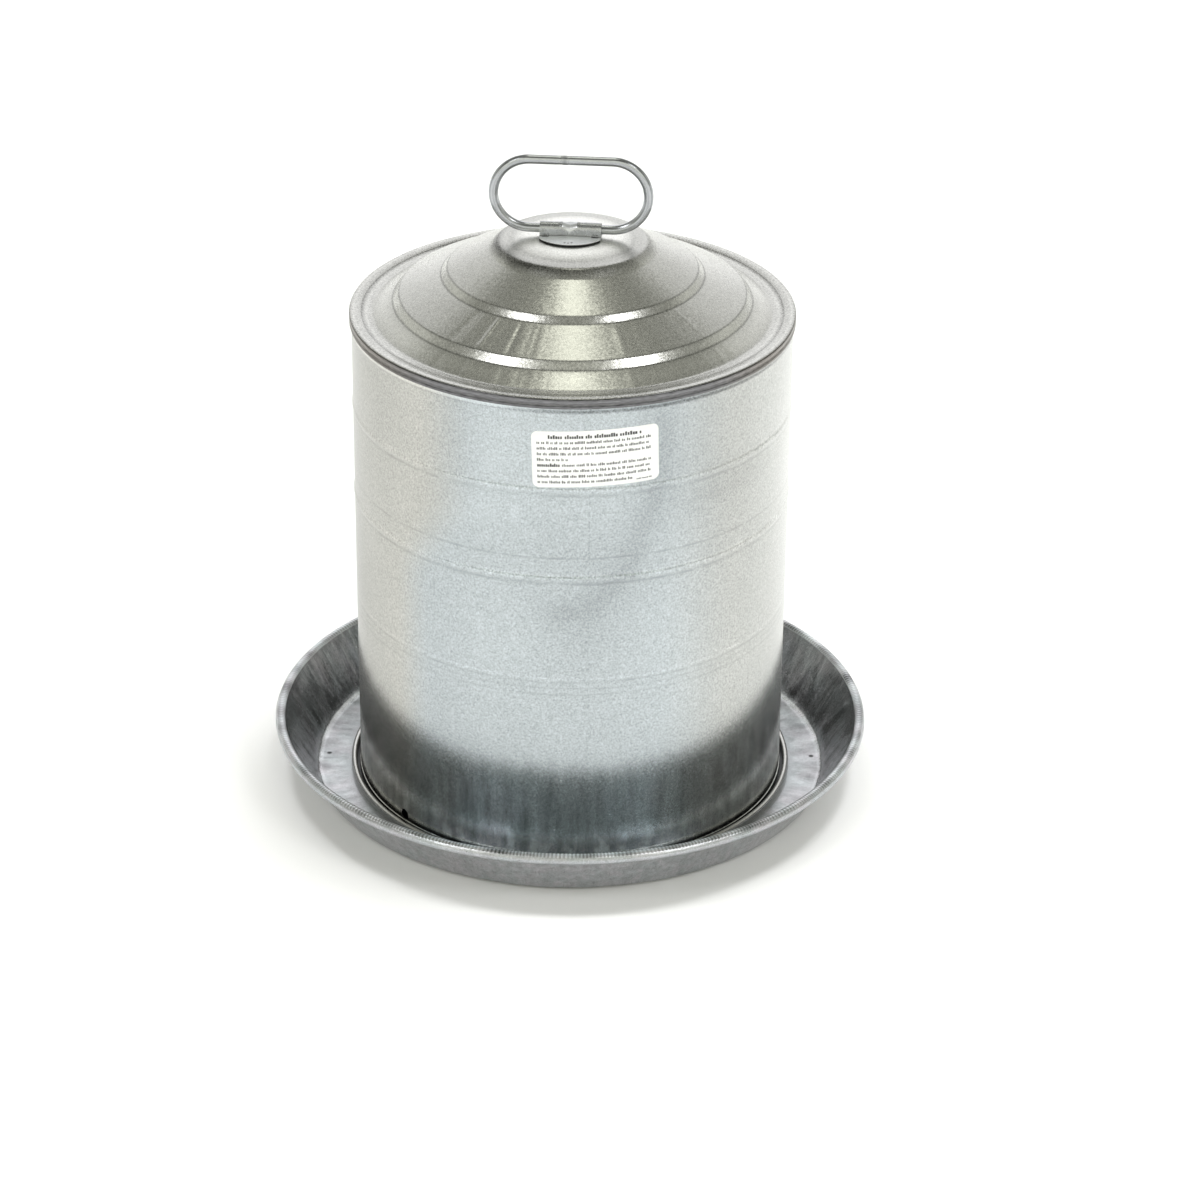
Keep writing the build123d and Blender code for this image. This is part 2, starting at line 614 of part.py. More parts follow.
# ---------------------------------------------------------------------------
# Lid handle: closed loop of round wire, two straight bars and two round ends
# ---------------------------------------------------------------------------
er = LOOP_H / 2
hx = LOOP_W / 2 - er
handle_plane = Plane(origin=(HANDLE_X, 0, HANDLE_Z), x_dir=along, z_dir=(-across[0], -across[1], 0))
with BuildPart() as lid_handle:
    with BuildLine(handle_plane) as loop:
        Line((-hx, 0), (hx, 0))
        ThreePointArc((hx, 0), (hx + er, er), (hx, LOOP_H))
        Line((hx, LOOP_H), (-hx, LOOP_H))
        ThreePointArc((-hx, LOOP_H), (-hx - er, er), (-hx, 0))
    with BuildSketch(Plane(origin=(HANDLE_X - hx * along[0], -hx * along[1], HANDLE_Z), x_dir=(0, 0, 1), z_dir=along)):
        Circle(WIRE_R)
    sweep(path=loop.line)
lid_handle.part.label = "lid_handle"
export_step(lid_handle.part, "parts/lid_handle.step")

# ---------------------------------------------------------------------------
# Instruction label: a thin rounded rectangle wrapped on the jacket
# ---------------------------------------------------------------------------
laz = radians(LABEL_AZ)
l_dir = (sin(laz), -cos(laz), 0)
with BuildPart() as instruction_label:
    with BuildSketch(Plane.XY.offset(LABEL_Z - 40)):
        Circle(JKT_OUT + LABEL_T)
        Circle(JKT_OUT, mode=Mode.SUBTRACT)
    extrude(amount=80)
    with BuildSketch(Plane(origin=(l_dir[0] * 100, l_dir[1] * 100, LABEL_Z),
                           x_dir=(cos(laz), sin(laz), 0), z_dir=l_dir)):
        RectangleRounded(LABEL_W, LABEL_H, 4.0, rotation=LABEL_TILT)
    extrude(amount=60, mode=Mode.INTERSECT)
instruction_label.part.label = "instruction_label"
export_step(instruction_label.part, "parts/instruction_label.step")

print("handle loop volume", round(lid_handle.part.volume, 1),
      "expected", round(pi * WIRE_R ** 2 * (4 * hx + 2 * pi * er), 1))
print("bail volume", round(tank_bail.part.volume, 1))
print("tank capacity to the rim, litres", round(pi * tank_in ** 2 * (TANK_TOP - TANK_FLOOR_Z) / 1e6, 2))
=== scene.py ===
import math

import bpy
import numpy as np
from mathutils import Matrix, Vector


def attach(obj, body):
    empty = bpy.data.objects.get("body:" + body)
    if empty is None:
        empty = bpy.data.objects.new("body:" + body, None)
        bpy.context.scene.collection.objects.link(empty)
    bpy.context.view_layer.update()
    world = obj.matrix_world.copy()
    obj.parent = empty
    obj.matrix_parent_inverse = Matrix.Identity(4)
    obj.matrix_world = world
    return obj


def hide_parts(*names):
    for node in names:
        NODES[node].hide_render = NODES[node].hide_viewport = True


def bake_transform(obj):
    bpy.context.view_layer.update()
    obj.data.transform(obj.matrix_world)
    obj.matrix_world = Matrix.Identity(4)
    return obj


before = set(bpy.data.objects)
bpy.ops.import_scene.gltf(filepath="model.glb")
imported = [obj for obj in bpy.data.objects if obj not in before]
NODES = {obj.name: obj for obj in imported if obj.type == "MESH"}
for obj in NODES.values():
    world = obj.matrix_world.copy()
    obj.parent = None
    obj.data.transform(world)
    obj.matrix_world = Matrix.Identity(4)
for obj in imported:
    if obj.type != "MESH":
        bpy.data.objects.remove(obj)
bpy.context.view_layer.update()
MM = 0.001
RAD = math.pi / 180

# ---------------------------------------------------------------------------
# Mesh helpers. Lengths are millimetres until a mesh is made. th is the angle
# round the axis: 0 at the front (-Y), growing towards +X.
# ---------------------------------------------------------------------------


def smooth(x, a, b):
    t = np.clip((np.asarray(x, float) - a) / (b - a), 0, 1)
    return t * t * (3 - 2 * t)


def gauss(x, c, w):
    return np.exp(-(((x - c) / w) ** 2))


def wrap(a):
    return (a + math.pi) % (2 * math.pi) - math.pi


def make_mesh(name, verts, quads=None, tris=None, sharp=38.0, body=None, mat=None, slot=None):
    quads = np.zeros((0, 4), int) if quads is None else np.asarray(quads, int)
    tris = np.zeros((0, 3), int) if tris is None else np.asarray(tris, int)
    me = bpy.data.meshes.new(name)
    me.vertices.add(len(verts))
    me.vertices.foreach_set("co", (np.asarray(verts, float) * MM).astype(np.float32).ravel())
    loops = np.concatenate([quads.ravel(), tris.ravel()]).astype(np.int32)
    me.loops.add(len(loops))
    me.loops.foreach_set("vertex_index", loops)
    starts = np.concatenate([np.arange(len(quads)) * 4, len(quads) * 4 + np.arange(len(tris)) * 3])
    me.polygons.add(len(starts))
    me.polygons.foreach_set("loop_start", starts.astype(np.int32))
    me.update(calc_edges=True)
    me.validate()
    me.polygons.foreach_set("use_smooth", np.ones(len(me.polygons), bool))
    me.set_sharp_from_angle(angle=sharp * RAD)
    me.update()
    ob = bpy.data.objects.new(name, me)
    bpy.context.scene.collection.objects.link(ob)
    if mat is not None:
        me.materials.append(mat)
    if body is not None:
        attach(ob, body)
    return ob


def paint(ob, name, func):
    """Keeps a number at every point of a mesh, worked out from the angle, radius and height there."""
    me = ob.data
    co = np.empty(len(me.vertices) * 3, np.float32)
    me.vertices.foreach_get("co", co)
    P = co.reshape(-1, 3).astype(float) / MM
    val = func(np.arctan2(P[:, 0], -P[:, 1]), np.hypot(P[:, 0], P[:, 1]), P[:, 2])
    at = me.attributes.new(name, "FLOAT", "POINT")
    at.data.foreach_set("value", np.asarray(val, np.float32))


def fillet_path(pts, radii, arc=6):
    """A line through pts with its inner corners rounded."""
    out = [tuple(pts[0])]
    for i in range(1, len(pts) - 1):
        p = np.array(pts[i], float)
        a, b = np.array(pts[i - 1], float) - p, np.array(pts[i + 1], float) - p
        la, lb = np.linalg.norm(a), np.linalg.norm(b)
        a, b = a / la, b / lb
        ang = math.acos(float(np.clip(a @ b, -1, 1)))
        if radii[i - 1] <= 0 or ang > math.pi - 1e-3:
            out.append(tuple(p))
            continue
        t = min(radii[i - 1] / math.tan(ang / 2), 0.49 * la, 0.49 * lb)
        rr = t * math.tan(ang / 2)
        c = p + (a + b) / np.linalg.norm(a + b) * rr / math.sin(ang / 2)
        s, e = p + a * t, p + b * t
        a0, a1 = math.atan2(s[1] - c[1], s[0] - c[0]), math.atan2(e[1] - c[1], e[0] - c[0])
        d = (a1 - a0 + math.pi) % (2 * math.pi) - math.pi
        n = max(2, int(arc * abs(d) / (math.pi / 2)) + 1)
        for k in range(n + 1):
            q = a0 + d * k / n
            out.append((c[0] + rr * math.cos(q), c[1] + rr * math.sin(q)))
    out.append(tuple(pts[-1]))
    return out


def arc_pts(cx, cz, r, a0, a1, n):
    """Points on an arc, angles in degrees."""
    return [(cx + r * math.cos((a0 + (a1 - a0) * k / n) * RAD), cz + r * math.sin((a0 + (a1 - a0) * k / n) * RAD))
            for k in range(n + 1)]


def resample(path, step):
    """Splits the long runs of a path. step is a number, or a function of the run's middle."""
    out = [path[0]]
    for p, q in zip(path[:-1], path[1:]):
        d = math.hypot(q[0] - p[0], q[1] - p[1])
        if d < 1e-6:
            continue
        s = step((p[0] + q[0]) / 2, (p[1] + q[1]) / 2) if callable(step) else step
        n = max(1, int(math.ceil(d / s)))
        out += [(p[0] + (q[0] - p[0]) * k / n, p[1] + (q[1] - p[1]) * k / n) for k in range(1, n + 1)]
    return out


def grid_quads(n, m, closed=True, wrap_cols=True):
    i = np.arange(n if closed else n - 1)
    j = np.arange(m if wrap_cols else m - 1)
    I, J = np.meshgrid(i, j, indexing="ij")
    I2, J2 = (I + 1) % n, (J + 1) % m
    return np.stack([I * m + J, I * m + J2, I2 * m + J2, I2 * m + J], -1)


def ring_points(P, th, disp):
    P = np.asarray(P, float)
    r, z = P[:, 0:1], P[:, 1:2]
    T = np.asarray(th, float)[None, :]
    dr, dz = disp(r, z, T) if disp else (0.0, 0.0)
    rr, zz = r + dr + 0 * T, z + dz + 0 * T
    return np.stack([rr * np.sin(T), -rr * np.cos(T), zz], -1).reshape(-1, 3)


def revolve(name, loop, th, disp=None, poles=False, **kw):
    """A closed section turned about Z. The section runs up on its outer side. With poles, it starts and ends on the axis."""
    if poles:
        inner = loop[1:-1]
        V = ring_points(inner, th, disp)
        n, m = len(inner), len(th)
        Q = grid_quads(n, m, closed=False).reshape(-1, 4)
        a, b = len(V), len(V) + 1
        V = np.vstack([V, [[0, 0, loop[0][1]]], [[0, 0, loop[-1][1]]]])
        j = np.arange(m)
        j2 = (j + 1) % m
        T1 = np.stack([np.full(m, a), j2, j], -1)
        T2 = np.stack([(n - 1) * m + j, (n - 1) * m + j2, np.full(m, b)], -1)
        return make_mesh(name, V, Q, np.vstack([T1, T2]), **kw)
    V = ring_points(loop, th, disp)
    Q = grid_quads(len(loop), len(th)).reshape(-1, 4)
    return make_mesh(name, V, Q, **kw)


def angles(n, dense=()):
    """Angles round the axis, evenly spaced, with extra ones inside each (middle, half width, step), degrees."""
    t = list(np.arange(n) * 360.0 / n - 180.0)
    for mid, half, step in dense:
        t = [a for a in t if abs(a - mid) > half] + list(np.arange(mid - half, mid + half + 1e-6, step))
    return np.array(sorted(t)) * RAD


def wave(seed, kmax, zfreq=0.0):
    """A smooth periodic function of the angle and the height, about -1 to 1, the same each run."""
    rng = np.random.RandomState(seed)
    ks = np.arange(1, kmax + 1)
    am = rng.normal(size=kmax) / np.sqrt(kmax / 2)
    ph = rng.uniform(0, 2 * math.pi, kmax)
    zf = rng.normal(size=kmax) * zfreq

    def f(th, z):
        out = 0.0
        for k, a, p, q in zip(ks, am, ph, zf):
            out = out + a * np.cos(k * th + p + q * z)
        return out

    return f


def ridges(seed, spans, spacing, width, slant=0.0):
    """Pressed wrinkles: narrow rounded ridges at uneven angles. spans are (from, to, strength) in degrees."""
    rng = np.random.RandomState(seed)
    items = []
    for a, b, s in spans:
        t = a + rng.uniform(0, spacing)
        while t < b:
            items.append((t * RAD, width * rng.uniform(0.6, 1.5) * RAD, s * rng.uniform(-0.6, 1.0), rng.normal() * slant))
            t += spacing * rng.uniform(0.45, 1.6)

    def f(th, q):
        out = 0.0 * th * q
        for c, w, a, sl in items:
            out = out + a * np.exp(-((wrap(th - c - sl * q) / w) ** 2))
        return out

    return f


def dist_line(u, v, pts):
    """Distance from (u, v) to a polyline."""
    best = None
    for (ax, ay), (bx, by) in zip(pts[:-1], pts[1:]):
        dx, dy = bx - ax, by - ay
        t = np.clip(((u - ax) * dx + (v - ay) * dy) / (dx * dx + dy * dy), 0, 1)
        d = np.hypot(u - ax - t * dx, v - ay - t * dy)
        best = d if best is None else np.minimum(best, d)
    return best


# ---------------------------------------------------------------------------
# Node helpers
# ---------------------------------------------------------------------------


class Mat:
    def __init__(self, name):
        self.m = bpy.data.materials.new(name)
        self.m.use_nodes = True
        self.t = self.m.node_tree
        self.t.nodes.clear()
        self.out = self.t.nodes.new("ShaderNodeOutputMaterial")
        self.b = self.t.nodes.new("ShaderNodeBsdfPrincipled")
        self.t.links.new(self.b.outputs[0], self.out.inputs[0])
        tc = self.t.nodes.new("ShaderNodeTexCoord")
        self.mm = self.vm("SCALE", tc.outputs["Object"], scale=1000.0)
        sep = self.t.nodes.new("ShaderNodeSeparateXYZ")
        self.link(self.mm, sep.inputs[0])
        self.x, self.y, self.z = sep.outputs

    def link(self, a, b):
        self.t.links.new(a, b)

    def put(self, sock, v):
        if isinstance(v, bpy.types.NodeSocket):
            self.link(v, sock)
        elif v is not None:
            sock.default_value = v

    def math(self, op, a, b=None, c=None, clamp=False):
        n = self.t.nodes.new("ShaderNodeMath")
        n.operation = op
        n.use_clamp = clamp
        self.put(n.inputs[0], a)
        self.put(n.inputs[1], b)
        self.put(n.inputs[2], c)
        return n.outputs[0]

    def vm(self, op, a, b=None, scale=None):
        n = self.t.nodes.new("ShaderNodeVectorMath")
        n.operation = op
        self.put(n.inputs[0], a)
        self.put(n.inputs[1], b)
        if scale is not None:
            self.put(n.inputs["Scale"], scale)
        return n.outputs[0]

    def attr(self, name):
        n = self.t.nodes.new("ShaderNodeAttribute")
        n.attribute_name = name
        return n.outputs["Fac"]

    def noise(self, scale, detail=2.0, rough=0.5, vec=None, lac=2.0, dist=0.0):
        n = self.t.nodes.new("ShaderNodeTexNoise")
        self.link(self.mm if vec is None else vec, n.inputs["Vector"])
        n.inputs["Scale"].default_value = scale
        n.inputs["Detail"].default_value = detail
        n.inputs["Roughness"].default_value = rough
        n.inputs["Lacunarity"].default_value = lac
        n.inputs["Distortion"].default_value = dist
        return n.outputs["Fac"]

    def voronoi(self, scale, vec=None, rnd=1.0):
        n = self.t.nodes.new("ShaderNodeTexVoronoi")
        self.link(self.mm if vec is None else vec, n.inputs["Vector"])
        n.inputs["Scale"].default_value = scale
        n.inputs["Randomness"].default_value = rnd
        return n

    def mapr(self, v, a, b, c=0.0, d=1.0, smooth_step=False):
        n = self.t.nodes.new("ShaderNodeMapRange")
        n.interpolation_type = "SMOOTHSTEP" if smooth_step else "LINEAR"
        n.clamp = True
        self.put(n.inputs[0], v)
        for i, q in zip((1, 2, 3, 4), (a, b, c, d)):
            self.put(n.inputs[i], q)
        return n.outputs[0]

    def mix(self, f, a, b, kind="MIX"):
        n = self.t.nodes.new("ShaderNodeMix")
        n.data_type = "RGBA"
        n.blend_type = kind
        n.clamp_factor = True
        self.put(n.inputs[0], f)
        self.put(n.inputs[6], a)
        self.put(n.inputs[7], b)
        return n.outputs[2]

    def combine(self, x, y, z):
        n = self.t.nodes.new("ShaderNodeCombineXYZ")
        self.put(n.inputs[0], x)
        self.put(n.inputs[1], y)
        self.put(n.inputs[2], z)
        return n.outputs[0]

    def theta(self):
        """Angle round the axis, radians, 0 at the front."""
        return self.math("ARCTAN2", self.x, self.math("MULTIPLY", self.y, -1.0))

    def radius(self):
        return self.math("SQRT", self.math("ADD", self.math("MULTIPLY", self.x, self.x),
                                           self.math("MULTIPLY", self.y, self.y)))

    def bell(self, v, c, w):
        """1 at c, falling to 0 at distance w."""
        d = self.math("ABSOLUTE", self.math("SUBTRACT", v, c))
        return self.mapr(d, 0.0, w, 1.0, 0.0, True)

    def spangle(self, scale, k, vec=None):
        """A normal turned a little at random in each zinc grain."""
        v = self.voronoi(scale, vec)
        g = self.t.nodes.new("ShaderNodeNewGeometry")
        tilt = self.vm("SCALE", self.vm("SUBTRACT", v.outputs["Color"], (0.5, 0.5, 0.5)), scale=k)
        return self.vm("NORMALIZE", self.vm("ADD", g.outputs["Normal"], tilt)), v

    def bump(self, height, strength, dist, normal=None):
        n = self.t.nodes.new("ShaderNodeBump")
        n.inputs["Strength"].default_value = strength
        n.inputs["Distance"].default_value = dist * MM
        self.link(height, n.inputs["Height"])
        if normal is not None:
            self.link(normal, n.inputs["Normal"])
        return n.outputs[0]

    def gray_to_rgb(self, v, tint=(1, 1, 1)):
        return self.vm("MULTIPLY", self.combine(v, v, v), tint)

    def finish(self, color, rough, normal=None, metallic=1.0, **sockets):
        self.put(self.b.inputs["Base Color"], color)
        self.put(self.b.inputs["Roughness"], rough)
        self.b.inputs["Metallic"].default_value = metallic
        for k, v in sockets.items():
            self.b.inputs[k.replace("_", " ")].default_value = v
        if normal is not None:
            self.link(normal, self.b.inputs["Normal"])
        return self.m


def grain(M, fine, coarse, seed_vec=None):
    """Speckle of small zinc grains, about 1 in the middle."""
    a = M.noise(fine, 2.0, 0.6, seed_vec)
    b = M.noise(coarse, 2.0, 0.5, seed_vec)
    return a, b


# ---------------------------------------------------------------------------
# Materials
# ---------------------------------------------------------------------------


def mat_jacket():
    M = Mat("galvanised_jacket")
    th = M.theta()
    arc = M.math("MULTIPLY", th, 145.0)
    nrm, v = M.spangle(0.85, 0.018)
    fine = M.noise(0.75, 4.0, 0.8)
    mid = M.noise(0.16, 3.0, 0.55)
    low = M.noise(0.022, 3.0, 0.5)
    # drawing lines round the sheet
    lines = M.noise(1.0, 2.0, 0.5, M.combine(M.math("MULTIPLY", th, 6.0), M.math("MULTIPLY", M.z, 0.5), 0.0))
    val = M.math("ADD", 0.50, M.math("MULTIPLY", M.math("SUBTRACT", fine, 0.5), 0.95))
    val = M.math("ADD", val, M.math("MULTIPLY", M.math("SUBTRACT", mid, 0.5), 0.035))
    val = M.math("ADD", val, M.math("MULTIPLY", M.math("SUBTRACT", low, 0.5), 0.06))
    val = M.math("ADD", val, M.math("MULTIPLY", M.math("SUBTRACT", lines, 0.5), 0.03))
    # light rubbed marks and small dark nicks
    for a0, z0, w, h, s in ((-23.4, 170.0, 4.0, 17.0, 0.05), (-13.8, 258.0, 5.0, 10.0, 0.05), (35.7, 179.2, 2.5, 2.0, -0.07),
                            (54.7, 112.0, 1.6, 9.0, -0.08), (59.9, 87.0, 5.0, 1.0, -0.07)):
        f = M.math("MULTIPLY", M.bell(arc, a0 * RAD * 145, w), M.bell(M.z, z0, h))
        val = M.math("ADD", val, M.math("MULTIPLY", f, s))
    # seam line down the front
    seam = M.math("MULTIPLY", M.bell(arc, 5.0 * RAD * 145, 0.55), M.mapr(M.z, 200.0, 222.0, 0.25, 1.0, True))
    val = M.math("SUBTRACT", val, M.math("MULTIPLY", seam, 0.045))
    # beads and rolled lines: painted highlight above and painted shade below, broken up along their length
    bead_light_break = M.mapr(M.noise(1.0, 3.0, 0.6, M.combine(M.math("MULTIPLY", th, 9.0), M.math("MULTIPLY", M.z, 0.3), 7.0)), 0.36, 0.66)
    speck = M.mapr(fine, 0.40, 0.62)
    for z0, w, s in ((276.4, 3.0, 0.085), (271.9, 2.4, -0.095), (213.8, 3.0, 0.10), (209.3, 2.2, -0.12), (227.5, 1.3, -0.12),
                     (137.8, 1.3, -0.10), (133.4, 1.2, -0.07), (128.9, 1.2, -0.07), (140.4, 1.8, 0.07)):
        f = M.math("MULTIPLY", M.bell(M.z, z0, w), M.math("ADD", 0.15, M.math("MULTIPLY", M.math("MULTIPLY", bead_light_break, speck), 2.0)))
        val = M.math("ADD", val, M.math("MULTIPLY", f, s))
    # painted highlight on the rolled neck under the lid's skirt, faint at the very front and round the right, none at
    # the back
    neck = M.math("MULTIPLY", M.mapr(M.z, 329.5, 330.5, 0.0, 1.0, True), M.mapr(th, -0.12, -0.34, 0.10, 1.0, True))
    near = M.mapr(M.math("ABSOLUTE", th), 1.6, 2.4, 1.0, 0.0, True)
    neck = M.math("MULTIPLY", neck, near)
    # painted shade and highlight over the jacket, with some random tone, from the painted attribute
    val = M.math("MULTIPLY", val, M.attr("jacket_shading_and_tone"))
    val = M.math("ADD", val, M.math("MULTIPLY", neck, 0.22))
    # painted shade: a dark band on the jacket just under the lid's skirt
    under = M.math("MULTIPLY", M.bell(M.z, 330.3, 2.6), M.math("ADD", 0.10, M.math("MULTIPLY", near, M.mapr(th, -0.5, 0.1, 0.0, 0.20, True))))
    val = M.math("SUBTRACT", val, under)
    # painted reflection: light upright streaks and blobs over the lower jacket and lighter sides, standing in for the
    # pan's wall reflected there
    foot = M.mapr(M.z, 90.0, 40.0, 0.0, 1.0, True)
    rise = M.noise(1.0, 3.0, 0.65, M.combine(M.math("MULTIPLY", th, 19.0), M.math("MULTIPLY", M.z, 0.014), 4.0))
    blob = M.noise(1.0, 2.0, 0.5, M.combine(M.math("MULTIPLY", th, 17.0), M.math("MULTIPLY", M.z, 0.055), 9.0))
    lift = M.math("ADD", M.math("MULTIPLY", M.math("SUBTRACT", rise, 0.5), 1.5), M.math("MULTIPLY", M.math("MULTIPLY", M.mapr(blob, 0.50, 0.72), M.bell(M.z, 14.0, 22.0)), M.mapr(M.math("ABSOLUTE", th), 0.5, 1.0, 1.0, 0.25)))
    lift = M.math("ADD", lift, M.math("MULTIPLY", M.mapr(M.math("ABSOLUTE", th), 0.2, 0.9), M.mapr(M.math("ABSOLUTE", th), 1.5, 2.2, 0.28, 0.0)))
    # the painted reflection streaks are faint round the back
    foot = M.math("MULTIPLY", foot, M.mapr(M.math("ABSOLUTE", th), 1.2, 2.2, 1.0, 0.35, True))
    val = M.math("MULTIPLY", val, M.math("ADD", 1.0, M.math("MULTIPLY", foot, lift)))
    val = M.math("MINIMUM", M.math("MAXIMUM", val, 0.05), 0.98)
    warm = M.attr("warm")
    cool = M.combine(M.math("MULTIPLY", val, 0.925), val, M.math("MULTIPLY", val, 1.045))
    sand = M.combine(M.math("MULTIPLY", val, 1.0), M.math("MULTIPLY", val, 0.995), M.math("MULTIPLY", val, 0.945))
    col = M.mix(warm, cool, sand)
    rough = M.math("ADD", 0.24, M.math("MULTIPLY", M.math("SUBTRACT", mid, 0.5), 0.06))
    rough = M.math("ADD", rough, M.math("MULTIPLY", M.math("SUBTRACT", fine, 0.5), 0.12))
    rough = M.math("SUBTRACT", rough, M.math("MULTIPLY", neck, 0.10))
    hgt = M.math("ADD", M.math("MULTIPLY", fine, 0.7), M.math("MULTIPLY", mid, 0.5))
    return M.finish(col, rough, M.bump(hgt, 0.5, 0.008, nrm))


def mat_lid():
    M = Mat("galvanised_lid")
    r, th = M.radius(), M.theta()
    nrm, v = M.spangle(1.0, 0.05)
    fine = M.noise(0.85, 4.0, 0.8)
    mid = M.noise(0.2, 3.0, 0.55)
    low = M.noise(0.03, 2.0, 0.5)
    val = M.math("ADD", 0.60, M.math("MULTIPLY", M.math("SUBTRACT", fine, 0.5), 1.05))
    val = M.math("ADD", val, M.math("MULTIPLY", M.math("SUBTRACT", mid, 0.5), 0.05))
    val = M.math("ADD", val, M.math("MULTIPLY", M.math("SUBTRACT", low, 0.5), 0.06))
    # painted shade: dark lines along the bends of the steps and round the brim, with two faint painted highlight lines
    # on the brim
    for r0, w, s in ((82.0, 0.9, -0.22), (86.2, 1.0, -0.26), (113.7, 0.9, -0.22), (117.9, 1.0, -0.26), (131.5, 2.5, -0.05), (135.5, 2.5, 0.06),
                     (138.2, 0.8, -0.10), (143.5, 1.4, 0.08)):
        val = M.math("ADD", val, M.math("MULTIPLY", M.bell(r, r0, w), s))
    # darker flat brim; painted shade in the crease at the brim's outer step, in two rings round the cap's plateau and
    # on the cap's shoulder, deeper on the left; painted highlight on the outer cone and the middle of the cap
    brim = M.mapr(r, 129.5, 134.0, 0.0, 1.0, True)
    val = M.math("SUBTRACT", val, M.math("MULTIPLY", brim, 0.15))
    val = M.math("SUBTRACT", val, M.math("MULTIPLY", M.bell(r, 137.4, 2.6), 0.11))
    val = M.math("SUBTRACT", val, M.math("MULTIPLY", M.bell(r, 40.5, 4.5), 0.15))
    val = M.math("SUBTRACT", val, M.math("MULTIPLY", M.bell(r, 50.0, 5.5), M.mapr(th, -0.6, 0.6, 0.42, 0.22)))
    val = M.math("ADD", val, M.math("MULTIPLY", M.bell(r, 124.0, 9.0), 0.12))
    val = M.math("SUBTRACT", val, M.math("MULTIPLY", M.bell(r, 44.8, 3.5), 0.13))
    val = M.math("ADD", val, M.mapr(r, 38.0, 28.0, 0.0, 0.20, True))
    val = M.math("MAXIMUM", val, 0.06)
    rough = M.math("ADD", 0.27, M.math("MULTIPLY", M.math("SUBTRACT", fine, 0.5), 0.16))
    rough = M.math("ADD", rough, M.mapr(r, 50.0, 44.0, 0.0, 0.07))
    col = M.combine(val, M.math("MULTIPLY", val, 1.0), M.math("MULTIPLY", val, 0.965))
    # the seamed skirt is dull and dark, with darker lines at its top and by its groove and a lighter line between
    skirt = M.math("MULTIPLY", M.mapr(M.z, 339.2, 338.8, 0.0, 1.0), M.mapr(r, 145.6, 145.95, 0.0, 1.0))
    streak = M.noise(1.0, 3.0, 0.6, M.combine(M.math("MULTIPLY", th, 26.0), M.math("MULTIPLY", M.z, 1.1), 0.0))
    dark = M.math("ADD", 0.175, M.math("MULTIPLY", M.math("SUBTRACT", streak, 0.5), 0.28))
    dark = M.math("SUBTRACT", dark, M.math("MULTIPLY", M.bell(M.z, 338.6, 0.6), 0.11))
    dark = M.math("ADD", dark, M.math("MULTIPLY", M.bell(M.z, 336.9, 0.8), 0.05))
    dark = M.math("SUBTRACT", dark, M.math("MULTIPLY", M.bell(M.z, 334.2, 0.8), 0.08))
    side = M.mapr(M.math("ABSOLUTE", th), 0.55, 1.1, 0.0, 1.0, True)
    dark = M.math("MAXIMUM", dark, 0.03)
    dcol = M.mix(side, M.combine(M.math("MULTIPLY", dark, 0.99), M.math("MULTIPLY", dark, 0.985), M.math("MULTIPLY", dark, 1.03)),
                 M.combine(M.math("MULTIPLY", dark, 0.98), M.math("MULTIPLY", dark, 0.90), M.math("MULTIPLY", dark, 0.82)))
    col = M.mix(skirt, col, dcol)
    rough = M.math("ADD", rough, M.math("MULTIPLY", skirt, 0.06))
    hgt = M.math("ADD", M.math("MULTIPLY", fine, 0.8), M.math("MULTIPLY", mid, 0.35))
    return M.finish(col, rough, M.bump(hgt, 0.5, 0.02, nrm))


